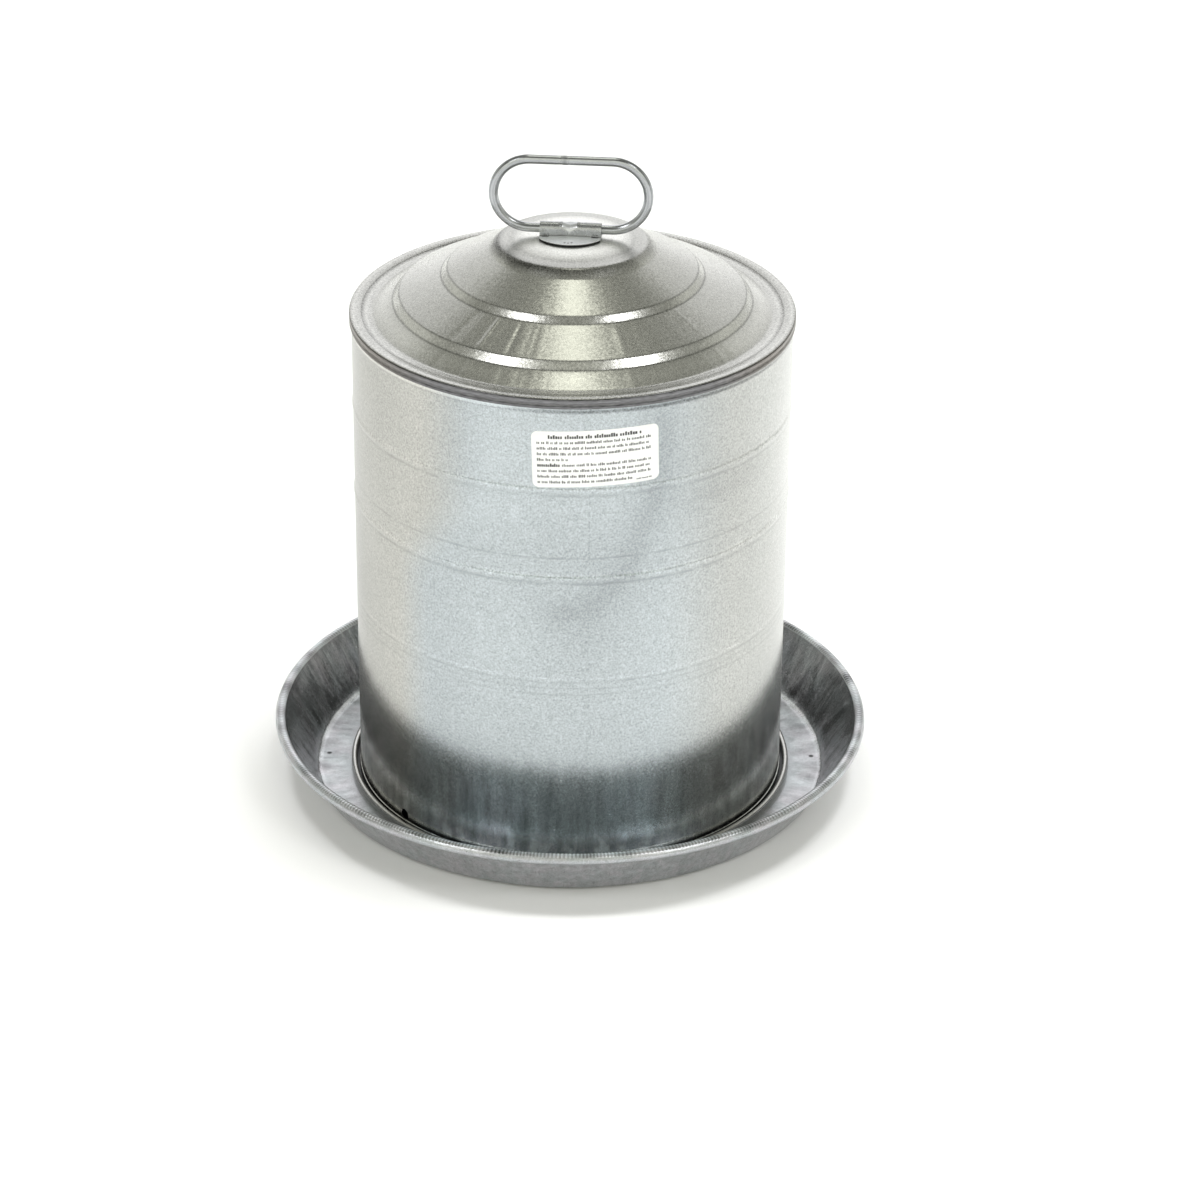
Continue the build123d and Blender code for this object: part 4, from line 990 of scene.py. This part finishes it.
# top skin, from the skirt's foot up and in to the axis, with a rolled groove round the skirt
skirt = [(145.9, 332.2), (146.25, 332.4), (146.4, 332.9), (146.4, 334.3), (146.25, 334.8), (146.05, 335.4), (146.1, 335.9), (146.4, 336.5)]
top = fillet_path([(146.4, 336.5), (146.4, 339.3), (141.0, 339.4), (137.0, 338.1), (131.0, 338.0), (117.6, 345.9), (113.9, 351.1),
                   (85.9, 363.6), (82.3, 367.9), (54.9, 381.4), (CAP_R, dome_z(CAP_R)), (dome_rs[0], dome_z(dome_rs[0]))],
                  [1.3, 9.0, 9.0, 5.0, 1.5, 1.7, 1.5, 1.7, 3.6, 6.0], 9)
bot = fillet_path([(0.0, DOME_Z - LT), (26.0, dome_z(26.0) - LT)] + low[:-1] + [(145.8, 332.4)],
                  [0, 1.5, 1.6, 1.9, 1.3, 1.9, 1.3, 1.6, 1.0, 0.6, 0.7], 5)


def lid_step(r, z):
    return 2.2 if r > 60 else 4.0


lid_loop = resample(bot, lid_step) + skirt[:-1] + resample(top, lid_step) + [(r, dome_z(r)) for r in dome_rs[1:]] + [(0.0, DOME_Z)]
lid_wave = wave(51, 5)
cone2 = ridges(61, [(-42, -6, 1.0), (30, 54, 0.8), (95, 130, 0.6), (170, 215, 0.7), (-150, -120, 0.6)], 4.2, 1.5)
cone3 = ridges(62, [(-44, -4, 1.0), (4, 20, 0.5), (34, 58, 0.9), (80, 120, 0.6), (150, 200, 0.7), (-140, -100, 0.6)], 3.6, 1.2)


lid_ridges = ridges(17, [(-44, -6, 1.0), (14, 26, 0.5), (150, 200, 0.7)], 4.2, 1.3)


def lid_disp(r, z, T):
    a = smooth(r, 84, 92) * (1 - smooth(r, 108, 115))
    b = smooth(r, 116, 121) * (1 - smooth(r, 128, 134))
    c = smooth(r, 55, 62) * (1 - smooth(r, 74, 82))
    d = 0.13 * a * cone2(T, (r - 100) * 0.0) + 0.10 * b * cone3(T, (r - 124) * 0.0) + 0.03 * c * cone2(T * 1.0 + 0.4, 0.0 * r)
    flat = smooth(r, 40, 70) * (1 - smooth(r, 128, 136))
    d = d + flat * 0.10 * lid_wave(T, 0)
    # drawn wrinkles running down the outer cones, left of the middle
    d = d + 0.48 * lid_ridges(T, r * 0) * smooth(r, 84, 92) * (1 - smooth(r, 127, 133)) * (1 - 0.8 * smooth(np.abs(r - 115.8), 5.0, 2.5))
    # shallow pressed ring just inside the cap's shoulder
    d = d - 0.30 * np.exp(-(((r - 41.0) / 5.0) ** 2))
    return 0.0, d


lid_ob = revolve("lid_sheet", lid_loop, angles(720), lid_disp, poles=True, body="jacket", mat=LID, slot="lid_galvanised", sharp=60)
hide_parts("conical_lid")

# ---------------------------------------------------------------------------
# Handle: closed wire loop with a butt weld in its upper bar
# ---------------------------------------------------------------------------
WIRE_R, LOOP_H, LOOP_W, HZ0, YAW, HX0 = 3.1, 47.0, 100.6, 394.5, -4.0 * RAD, -1.5
er, hx = LOOP_H / 2, LOOP_W / 2 - LOOP_H / 2
al = np.array([math.cos(YAW), math.sin(YAW), 0.0])
ac = np.array([-math.sin(YAW), math.cos(YAW), 0.0])
up = np.array([0.0, 0.0, 1.0])


def loop_points():
    pts = []
    for k in range(60):
        pts.append((-hx + 2 * hx * k / 60, 0.0))
    for k in range(72):
        a = -90 + 180 * k / 72
        pts.append((hx + er * math.cos(a * RAD), er + er * math.sin(a * RAD)))
    for k in range(60):
        pts.append((hx - 2 * hx * k / 60, LOOP_H))
    for k in range(72):
        a = 90 + 180 * k / 72
        pts.append((-hx + er * math.cos(a * RAD), er + er * math.sin(a * RAD)))
    return np.array(pts)


def tube(name, P, radius, sides, closed, plane_n, profile=None, **kw):
    """Round wire along P, whose points lie in a plane with normal plane_n."""
    P = np.asarray(P, float)
    nP = len(P)
    if closed:
        T = np.roll(P, -1, 0) - np.roll(P, 1, 0)
    else:
        T = np.gradient(P, axis=0)
    T /= np.linalg.norm(T, axis=1)[:, None]
    B = np.tile(np.asarray(plane_n, float), (nP, 1))
    N = np.cross(B, T)
    a = np.arange(sides) * 2 * math.pi / sides
    rad = np.full((nP, sides), float(radius)) if profile is None else profile(P, a)
    V = P[:, None, :] + rad[..., None] * (N[:, None, :] * np.cos(a)[None, :, None] + B[:, None, :] * np.sin(a)[None, :, None])
    V = V.reshape(-1, 3)
    i = np.arange(nP if closed else nP - 1)
    I, J = np.meshgrid(i, np.arange(sides), indexing="ij")
    I2, J2 = (I + 1) % nP, (J + 1) % sides
    Q = np.stack([I * sides + J, I * sides + J2, I2 * sides + J2, I2 * sides + J], -1).reshape(-1, 4)
    tris = None
    if not closed:
        V = np.vstack([V, P[:1], P[-1:]])
        j = np.arange(sides)
        j2 = (j + 1) % sides
        tris = np.vstack([np.stack([np.full(sides, nP * sides), j2, j], -1),
                          np.stack([np.full(sides, nP * sides + 1), (nP - 1) * sides + j, (nP - 1) * sides + j2], -1)])
    return make_mesh(name, V, Q, tris, **kw)


lp = loop_points()
P3 = lp[:, 0:1] * al[None, :] + lp[:, 1:2] * up[None, :] + np.array([HX0, 0, HZ0])


def wire_profile(P, a):
    x = (P - np.array([HX0, 0, 0])) @ al
    z = P[:, 2] - HZ0
    weld = (z > LOOP_H - 1) * (0.03 * np.exp(-(((x + 4.0) / 1.5) ** 2)) - 0.05 * np.exp(-(((x + 6.6) / 1.1) ** 2)) - 0.04 * np.exp(-(((x + 1.2) / 1.2) ** 2)))
    nick = -0.08 * np.exp(-(((z - 30.0) / 0.8) ** 2)) * (x > hx) + -0.06 * np.exp(-(((z - 22.0) / 0.8) ** 2)) * (x < -hx)
    # the bends are drawn slightly oval
    oval = 0.05 * np.cos(2 * a)[None, :] * (np.abs(x) > hx)[:, None]
    # faint drawing ridges along the wire
    drawn = 0.028 * np.cos(7 * a + 0.6) + 0.018 * np.cos(11 * a + 2.1) + 0.007 * np.cos(17 * a + 4.0)
    return WIRE_R - 0.045 + (weld + nick)[:, None] + oval + drawn[None, :]


handle_ob = tube("handle_loop_wire", P3, WIRE_R, 80, True, ac, wire_profile, body="lid_handle", mat=WIRE, slot="wire_zinc", sharp=60)
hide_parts("lid_handle")
# duller lines left by the drawing die, all along the wire
side_a = np.arange(80) * 2 * math.pi / 80
die = np.clip(0.5 + 0.5 * np.cos(9 * side_a + 0.9) + 0.45 * np.cos(4 * side_a + 2.0), 0, 1) ** 2
at_ = handle_ob.data.attributes.new("drawn", "FLOAT", "POINT")
at_.data.foreach_set("value", np.tile(die, len(handle_ob.data.vertices) // 80).astype(np.float32))

# ---------------------------------------------------------------------------
# Handle clip: sheet folded over the wire, with a crimp and weld marks
# ---------------------------------------------------------------------------
CT, CW, CAR, CREACH, SI = 1.0, 40.0, 24.3, 20.3, 3.4
MIDR = SI + CT / 2


def clip_section(u):
    """Middle line of the folded sheet at u along the wire: (across, height) points from the front flange's edge to the rear one's."""
    v_end = math.sqrt(CAR ** 2 - u ** 2) - (CAR - CREACH)
    lift = 0.10
    n1 = 18
    front = []
    for k in range(n1 + 1):
        v = v_end + (4.75 - v_end) * k / n1
        e = (v - 4.75) / (v_end - 4.75)
        rr = math.hypot(u + HX0, v)
        front.append((v, dome_z(rr) + CT / 2 + lift + 0.50 * max(e, 0) ** 3))
    # tight bend up into the sleeve
    base_z = dome_z(math.hypot(u + HX0, 4.7)) + CT / 2 + lift
    bend = arc_pts(4.7, base_z + 0.8, 0.8, -90, -180, 5)
    side = [(MIDR, base_z + 1.4)]
    over = arc_pts(0.0, HZ0, MIDR, 0, 90, 12)
    half = front + bend[1:] + side + over
    left = [(-v, z) for v, z in half[:-1]][::-1]
    return half + left


def crimp(u, v, z):
    """V notch pressed into the crown on the front side, weld dimples in the flanges, dark slits at the bend's ends."""
    w = max(0.0, 1 - abs(u + 0.5) / 5.0)
    top = 1.0 if z > HZ0 + 1.0 else max(0.0, (z - (HZ0 - 2.4)) / 3.4)
    f = -1.22 * (w ** 0.75) * top * (1.0 if v > -2.2 else 0.45)
    f += 0.20 * math.exp(-(((abs(u + 0.5) - 5.6) / 0.9) ** 2)) * top
    if z < DOME_Z + 2.2 and abs(v) > 9:
        for du, dv, s in ((0.4, 16.0, 0.40), (-1.9, 15.6, 0.26), (2.7, 15.9, 0.22)):
            d = math.hypot(u + du, abs(v) - dv)
            f += -s * math.exp(-((d / 0.9) ** 2)) + 0.10 * math.exp(-(((d - 1.9) / 0.7) ** 2))
    if z < DOME_Z + 1.8 and 4.6 < abs(v) < 7.5:
        f += -0.42 * math.exp(-(((abs(v) - 5.7) / 0.55) ** 2)) * float(smooth(abs(u), 13.6, 14.6) * (1 - smooth(abs(u), 17.6, 18.6)))
    return f


us = sorted(set([round(float(x), 3) for x in list(np.linspace(-CW / 2 + 0.02, CW / 2 - 0.02, 81)) + list(np.linspace(-6.5, 5.5, 41))]))
S = np.array([[(v, z + crimp(u, v, z)) for v, z in clip_section(u)] for u in us])
nu, ns = S.shape[:2]
# offset both ways across the sheet
D = np.gradient(S, axis=1)
D /= np.linalg.norm(D, axis=2)[..., None]
NN = np.stack([D[..., 1], -D[..., 0]], -1)


def clip_xyz(S2):
    u = np.array(us)[:, None]
    return (u[..., None] * al + (-S2[..., 0])[..., None] * ac + (S2[..., 1])[..., None] * up) + np.array([HX0, 0, 0])


side_a = clip_xyz(S + NN * (CT / 2 - 0.02)).reshape(-1, 3)
side_b = clip_xyz(S - NN * (CT / 2 - 0.02)).reshape(-1, 3)
Vc = np.vstack([side_a, side_b])
g = grid_quads(nu, ns, closed=False, wrap_cols=False).reshape(-1, 4)
off = nu * ns
Qc = [g, g[:, ::-1] + off]
b = [i * ns for i in range(nu)]
e2 = [i * ns + ns - 1 for i in range(nu)]
s0 = list(range(ns))
s1 = [(nu - 1) * ns + j for j in range(ns)]
for line, rev in ((b, True), (e2, False), (s0, False), (s1, True)):
    a0 = np.array(line[:-1])
    a1 = np.array(line[1:])
    q = np.stack([a0, a1, a1 + off, a0 + off], -1)
    Qc.append(q[:, ::-1] if rev else q)
clip_ob = make_mesh("handle_clip_sheet", Vc, np.vstack(Qc), body="jacket", mat=CLIP, slot="clip_steel", sharp=40)
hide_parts("handle_clip")
# the under side and the cut edges are black: scale and sealant, with painted shadow of the gap under the flanges; the
# slits at the bend's ends get painted shade and the weld dimples dark weld marks
clip_scale_and_gap_shade = np.zeros(len(Vc), np.float32)
clip_scale_and_gap_shade[off:] = 1.0
UU = np.array(us)[:, None] + 0 * S[..., 0]
AV = np.abs(S[..., 0])
slit_shade_and_weld_marks = np.exp(-(((AV - 5.9) / 0.7) ** 2)) * smooth(np.abs(UU), 13.4, 14.4) * (1 - smooth(np.abs(UU), 17.6, 18.6)) * (S[..., 1] < DOME_Z + 2.2)
for du, dv in ((0.4, 17.2), (-1.9, 16.4), (2.7, 16.8)):
    slit_shade_and_weld_marks = slit_shade_and_weld_marks + 0.8 * np.exp(-((np.hypot(UU + du, AV - dv) / 0.7) ** 2)) * (AV > 9)
clip_scale_and_gap_shade[:off] = np.clip(slit_shade_and_weld_marks, 0, 1).ravel()
# tinned flanges and crimp notch, which also carry a painted highlight
notch = smooth(S[..., 1] - (HZ0 - 0.6) - 0.75 * (np.abs(UU + 0.5) - 1.2), -0.2, 0.7) * (1 - smooth(np.abs(UU + 0.5), 4.2, 5.2))
tin_and_painted_highlight = np.clip(smooth(AV, 5.0, 7.0) + 0.6 * notch, 0, 1)
at_ = clip_ob.data.attributes.new("tin_and_painted_highlight", "FLOAT", "POINT")
at_.data.foreach_set("value", np.concatenate([tin_and_painted_highlight.ravel(), tin_and_painted_highlight.ravel()]).astype(np.float32))
at_ = clip_ob.data.attributes.new("scale", "FLOAT", "POINT")
at_.data.foreach_set("value", clip_scale_and_gap_shade)

# ---------------------------------------------------------------------------
# Label: thin film wrapped on the jacket, with greeked lines in place of its words
# ---------------------------------------------------------------------------
LW, LH, LC, LTH, LZ, LTILT = 80.4, 38.8, 4.0, 6.6 * RAD, 297.9, 1.7 * RAD


def on_jacket(u, v, lift):
    """Label coordinates, from its centre, to a point that stands lift off the jacket."""
    u, v = np.asarray(u, float), np.asarray(v, float)
    uu = u * math.cos(LTILT) - v * math.sin(LTILT)
    vv = u * math.sin(LTILT) + v * math.cos(LTILT)
    th = LTH + np.arcsin(uu / JR)
    z = LZ + vv
    r = JR + jacket_disp(z, th) + lift
    return np.stack([r * np.sin(th), -r * np.cos(th), z], -1)


def plate(us_, vs_, lo, hi, shape=None):
    """A thin closed plate on the jacket: rows of v, columns of u from -1 to 1 times the row's half width."""
    U = np.array([[shape(v) * s if shape else s for s in us_] for v in vs_])
    W = np.array([[v for _ in us_] for v in vs_])
    n_, m_ = U.shape
    edge = np.ones_like(U)
    A = on_jacket(U, W, hi).reshape(-1, 3)
    B = on_jacket(U, W, lo).reshape(-1, 3)
    g_ = grid_quads(n_, m_, closed=False, wrap_cols=False).reshape(-1, 4)
    o_ = n_ * m_
    Qs = [g_, g_[:, ::-1] + o_]
    for line, rev in (([i * m_ for i in range(n_)], False), ([i * m_ + m_ - 1 for i in range(n_)], True),
                      (list(range(m_)), True), ([(n_ - 1) * m_ + j for j in range(m_)], False)):
        a0, a1 = np.array(line[:-1]), np.array(line[1:])
        q = np.stack([a0, a1, a1 + o_, a0 + o_], -1)
        Qs.append(q if not rev else q[:, ::-1])
    return np.vstack([A, B]), np.vstack(Qs)


def row_half(v):
    k = abs(v) - (LH / 2 - LC)
    return LW / 2 - (0 if k <= 0 else LC - math.sqrt(max(LC ** 2 - k ** 2, 0.0)))


vs = sorted(set([round(x, 4) for x in list(np.linspace(-LH / 2 + LC, LH / 2 - LC, 16)) +
                 [s * (LH / 2 - LC + LC * math.sin(a * RAD)) for s in (-1, 1) for a in (12, 24, 36, 48, 60, 72, 82, 88)]]))
A, Qp = plate(np.linspace(-1, 1, 49), vs, 0.03, 0.19, row_half)
label_ob = make_mesh("label_film_sheet", A, Qp, body="jacket", mat=LABEL, slot="label", sharp=50)
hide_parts("instruction_label")

rng = np.random.RandomState(77)
bars = []


def words(x0, x1, y, h, mean, gap, pitch, fat):
    """Greeked words: runs of small plain upright blocks, none of them a letter."""
    x = x0
    while x < x1 - 1.0:
        w = min(max(1.6, rng.gamma(3.0, mean / 3.0)), x1 - x)
        n_ = max(1, int(round(w / pitch)))
        for k in range(n_):
            tall = rng.uniform() < 0.3
            hh = h * (1.3 if tall else rng.uniform(0.85, 1.0))
            xa = x + k * w / n_
            bars.append((xa, xa + w / n_ * fat * rng.uniform(0.85, 1.1), y - h / 2, y - h / 2 + hh))
        x += w + gap


top_edge, left_edge = LH / 2, -LW / 2
words(left_edge + 10.3, left_edge + 69.5, top_edge - 4.2, 2.0, 9.0, 1.3, 1.55, 0.80)
for k, (x1, bold) in enumerate(((75.5, 0), (74.8, 0), (75.3, 0), (22.5, 0), (75.3, 16), (74.6, 0), (75.0, 0), (63.0, 0))):
    y = top_edge - 8.1 - 3.88 * k
    if bold:
        words(left_edge + 3.2, left_edge + 17.4, y, 1.75, 14.0, 1.0, 1.25, 0.84)
        words(left_edge + 18.6, left_edge + x1, y, 1.4, 4.2, 0.95, 0.98, 0.68)
    else:
        words(left_edge + 3.2, left_edge + x1, y, 1.4, 4.2, 0.95, 0.98, 0.68)
words(left_edge + 65.5, left_edge + 75.5, -LH / 2 + 2.3, 0.6, 3.0, 0.5, 0.9, 0.8)
VV, QQ, off = [], [], 0
for x0, x1, y0, y1 in bars:
    a_, q_ = plate([x0, x1], [y0, y1], 0.185, 0.205)
    VV.append(a_)
    QQ.append(q_ + off)
    off += len(a_)
print_ob = make_mesh("label_print_bars", np.vstack(VV), np.vstack(QQ), body="jacket", mat=INK, slot="label", sharp=30)

# ---------------------------------------------------------------------------
# Valve spring: coils between the bush and the push button
# ---------------------------------------------------------------------------
sp_z, sp_y0, sp_y1, sp_r, sp_w, sp_n = 17.5, 139.05, 141.05, 4.7, 0.25, 3
tt = np.linspace(0, 1, 240)
ease = tt + 0.0
Ps = np.stack([sp_r * np.cos(2 * math.pi * sp_n * tt), -(sp_y0 + (sp_y1 - sp_y0) * ease), sp_z + sp_r * np.sin(2 * math.pi * sp_n * tt)], -1)


def helix_tube(name, P, radius, sides, **kw):
    T = np.gradient(P, axis=0)
    T /= np.linalg.norm(T, axis=1)[:, None]
    C = np.stack([P[:, 0], 0 * P[:, 0], P[:, 2] - sp_z], -1)
    N = C / np.linalg.norm(C, axis=1)[:, None]
    B = np.cross(T, N)
    B /= np.linalg.norm(B, axis=1)[:, None]
    a = np.arange(sides) * 2 * math.pi / sides
    V = P[:, None, :] + radius * (N[:, None, :] * np.cos(a)[None, :, None] + B[:, None, :] * np.sin(a)[None, :, None])
    nP = len(P)
    V = np.vstack([V.reshape(-1, 3), P[:1], P[-1:]])
    I, J = np.meshgrid(np.arange(nP - 1), np.arange(sides), indexing="ij")
    J2 = (J + 1) % sides
    Q = np.stack([I * sides + J, I * sides + J2, (I + 1) * sides + J2, (I + 1) * sides + J], -1).reshape(-1, 4)
    j = np.arange(sides)
    j2 = (j + 1) % sides
    tris = np.vstack([np.stack([np.full(sides, nP * sides), j2, j], -1),
                      np.stack([np.full(sides, nP * sides + 1), (nP - 1) * sides + j, (nP - 1) * sides + j2], -1)])
    return make_mesh(name, V, Q, tris, **kw)


spring_ob = helix_tube("valve_spring_coil", Ps, sp_w, 10, mat=SPRING, slot="spring_steel", sharp=60)
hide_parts("valve_spring")
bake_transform(spring_ob)

# ---------------------------------------------------------------------------
# Floor, light and camera
# ---------------------------------------------------------------------------
fme = bpy.data.meshes.new("studio_floor")
S_ = 14.0
fme.from_pydata([(-S_, -S_, -0.0004), (S_, -S_, -0.0004), (S_, S_, -0.0004), (-S_, S_, -0.0004)], [], [(0, 1, 2, 3)])
fme.materials.append(FLOOR)
floor = bpy.data.objects.new("studio_floor", fme)
bpy.context.scene.collection.objects.link(floor)

world = bpy.data.worlds.new("studio")
bpy.context.scene.world = world
world.use_nodes = True
wt = world.node_tree
wt.nodes.clear()


def wn(kind):
    return wt.nodes.new(kind)


def wmath(op, a, b=None, c=None, clamp=False):
    q = wn("ShaderNodeMath")
    q.operation = op
    q.use_clamp = clamp
    for s, v in zip(q.inputs, (a, b, c)):
        if isinstance(v, bpy.types.NodeSocket):
            wt.links.new(v, s)
        elif v is not None:
            s.default_value = v
    return q.outputs[0]


def wmap(v, a, b, c=0.0, d=1.0):
    q = wn("ShaderNodeMapRange")
    q.interpolation_type = "SMOOTHSTEP"
    for s, x in zip(q.inputs[:5], (v, a, b, c, d)):
        if isinstance(x, bpy.types.NodeSocket):
            wt.links.new(x, s)
        else:
            s.default_value = x
    return q.outputs[0]


tc = wn("ShaderNodeTexCoord")
sep = wn("ShaderNodeSeparateXYZ")
wt.links.new(tc.outputs["Generated"], sep.inputs[0])
dx, dy, dz = sep.outputs
# a white backdrop behind that fades to its sides, a dim ceiling and a dim room on the camera's side
hor = wmath("SQRT", wmath("ADD", wmath("MULTIPLY", dx, dx), wmath("MULTIPLY", dy, dy)))
caz = wmath("DIVIDE", dy, wmath("MAXIMUM", hor, 0.001))
edge = wmath("ADD", wmap(caz, 0.20, 0.80, 0.28, 0.58), wmap(caz, -0.6, -0.1, -0.18, 0.10))
band = wmap(wmath("SUBTRACT", dz, edge), 0.11, -0.05, 0.0, 1.0)
ramp = wmath("MULTIPLY", wmath("SUBTRACT", caz, 0.60), 2.5, clamp=True)
peak = wmath("POWER", ramp, 6.0)
back = wmath("ADD", wmath("MULTIPLY", peak, 0.72), 0.74)
low_part = wmath("MULTIPLY", band, back)
ceil_part = wmap(dz, 0.1, 1.0, 0.30, 0.27)
front = wmath("MULTIPLY", wmap(dy, -0.25, -0.65, 0.0, 1.0), wmap(dz, 0.78, 0.55, 0.0, 1.0))
ceil_part = wmath("ADD", ceil_part, wmath("MULTIPLY", front, 0.86))
# narrow strip of light overhead, running from front to back
strip = wmath("MULTIPLY", wmap(wmath("ABSOLUTE", dx), 0.15, 0.05, 0.0, 1.0), wmap(dz, 0.86, 0.93, 0.0, 1.0))
strip = wmath("MULTIPLY", strip, wmap(dy, -0.06, 0.05, 0.0, 1.0))
lum = wmath("ADD", wmath("ADD", low_part, wmath("MULTIPLY", ceil_part, wmath("SUBTRACT", 1.0, band))), wmath("MULTIPLY", strip, 1.95))
# a faint warm green cast on the dim parts, neutral on the backdrop
warm = wn("ShaderNodeMix")
warm.data_type = "RGBA"
wt.links.new(wmath("MULTIPLY", band, wmath("ADD", 0.35, wmath("MULTIPLY", ramp, 0.65))), warm.inputs[0])
warm.inputs[6].default_value = (1.0, 1.01, 0.88, 1)
warm.inputs[7].default_value = (1.0, 1.0, 1.0, 1)
bg = wn("ShaderNodeBackground")
wt.links.new(warm.outputs[2], bg.inputs[0])
wt.links.new(lum, bg.inputs[1])
white = wn("ShaderNodeBackground")
white.inputs[0].default_value = (1, 1, 1, 1)
white.inputs[1].default_value = 1.05
lp_ = wn("ShaderNodeLightPath")
mixs = wn("ShaderNodeMixShader")
wt.links.new(lp_.outputs["Is Camera Ray"], mixs.inputs[0])
wt.links.new(bg.outputs[0], mixs.inputs[1])
wt.links.new(white.outputs[0], mixs.inputs[2])
wo_ = wn("ShaderNodeOutputWorld")
wt.links.new(mixs.outputs[0], wo_.inputs[0])


def soft_sun(name, az, el, angle, strength, color=(1, 1, 1)):
    """A large soft light at infinity. az is measured from the camera's side towards +X."""
    d = Vector((math.sin(az * RAD) * math.cos(el * RAD), -math.cos(az * RAD) * math.cos(el * RAD), math.sin(el * RAD)))
    li = bpy.data.lights.new(name, "SUN")
    li.energy = strength
    li.angle = angle * RAD
    li.color = color
    ob = bpy.data.objects.new(name, li)
    ob.rotation_mode = "QUATERNION"
    ob.rotation_quaternion = d.to_track_quat("Z", "Y")
    bpy.context.scene.collection.objects.link(ob)
    return ob


soft_sun("softbox_left", -52, 46, 17, 0.42)
soft_sun("softbox_right", 52, 46, 17, 0.50)
# high lights from behind that only the matt floor and label take: they throw the short shadows at the front sides
for nm, az, el, ang, power in (("back_left", -118, 74, 12, 0.80), ("back_right", 118, 73, 12, 1.00), ("overhead_fill", 0, 89.5, 45, 0.16)):
    li = soft_sun(nm, az, el, ang, power, (0.985, 0.99, 1.0))
    li.visible_glossy = False

# a lamp over the floor at the right rear: it only brightens the floor that the jacket reflects there
lamp = bpy.data.lights.new("floor_lamp", "AREA")
lamp.energy = 1.5
lamp.size = 0.40
lamp_ob = bpy.data.objects.new("floor_lamp", lamp)
lamp_ob.location = (0.56, 0.34, 0.55)
lamp_ob.visible_glossy = False
bpy.context.scene.collection.objects.link(lamp_ob)

cam_data = bpy.data.cameras.new("camera")
cam_data.sensor_width = 36.0
cam_data.lens = 116.407
cam_data.clip_start, cam_data.clip_end = 0.05, 60.0
cam = bpy.data.objects.new("camera", cam_data)
p_, q_ = 27.383 * RAD, -0.5626 * RAD
rv = Vector((1, 0, 0))
dv = Vector((0, -math.sin(p_), -math.cos(p_)))
fv = Vector((0, math.cos(p_), -math.sin(p_)))
r2 = math.cos(q_) * rv + math.sin(q_) * dv
d2 = -math.sin(q_) * rv + math.cos(q_) * dv
cam.matrix_world = Matrix(((r2.x, -d2.x, -fv.x, 0.0198), (r2.y, -d2.y, -fv.y, -2.3463), (r2.z, -d2.z, -fv.z, 1.3386), (0, 0, 0, 1)))
bpy.context.scene.collection.objects.link(cam)
bpy.context.scene.camera = cam
bpy.context.scene.view_settings.view_transform = "Standard"
bpy.context.scene.view_settings.look = "None"
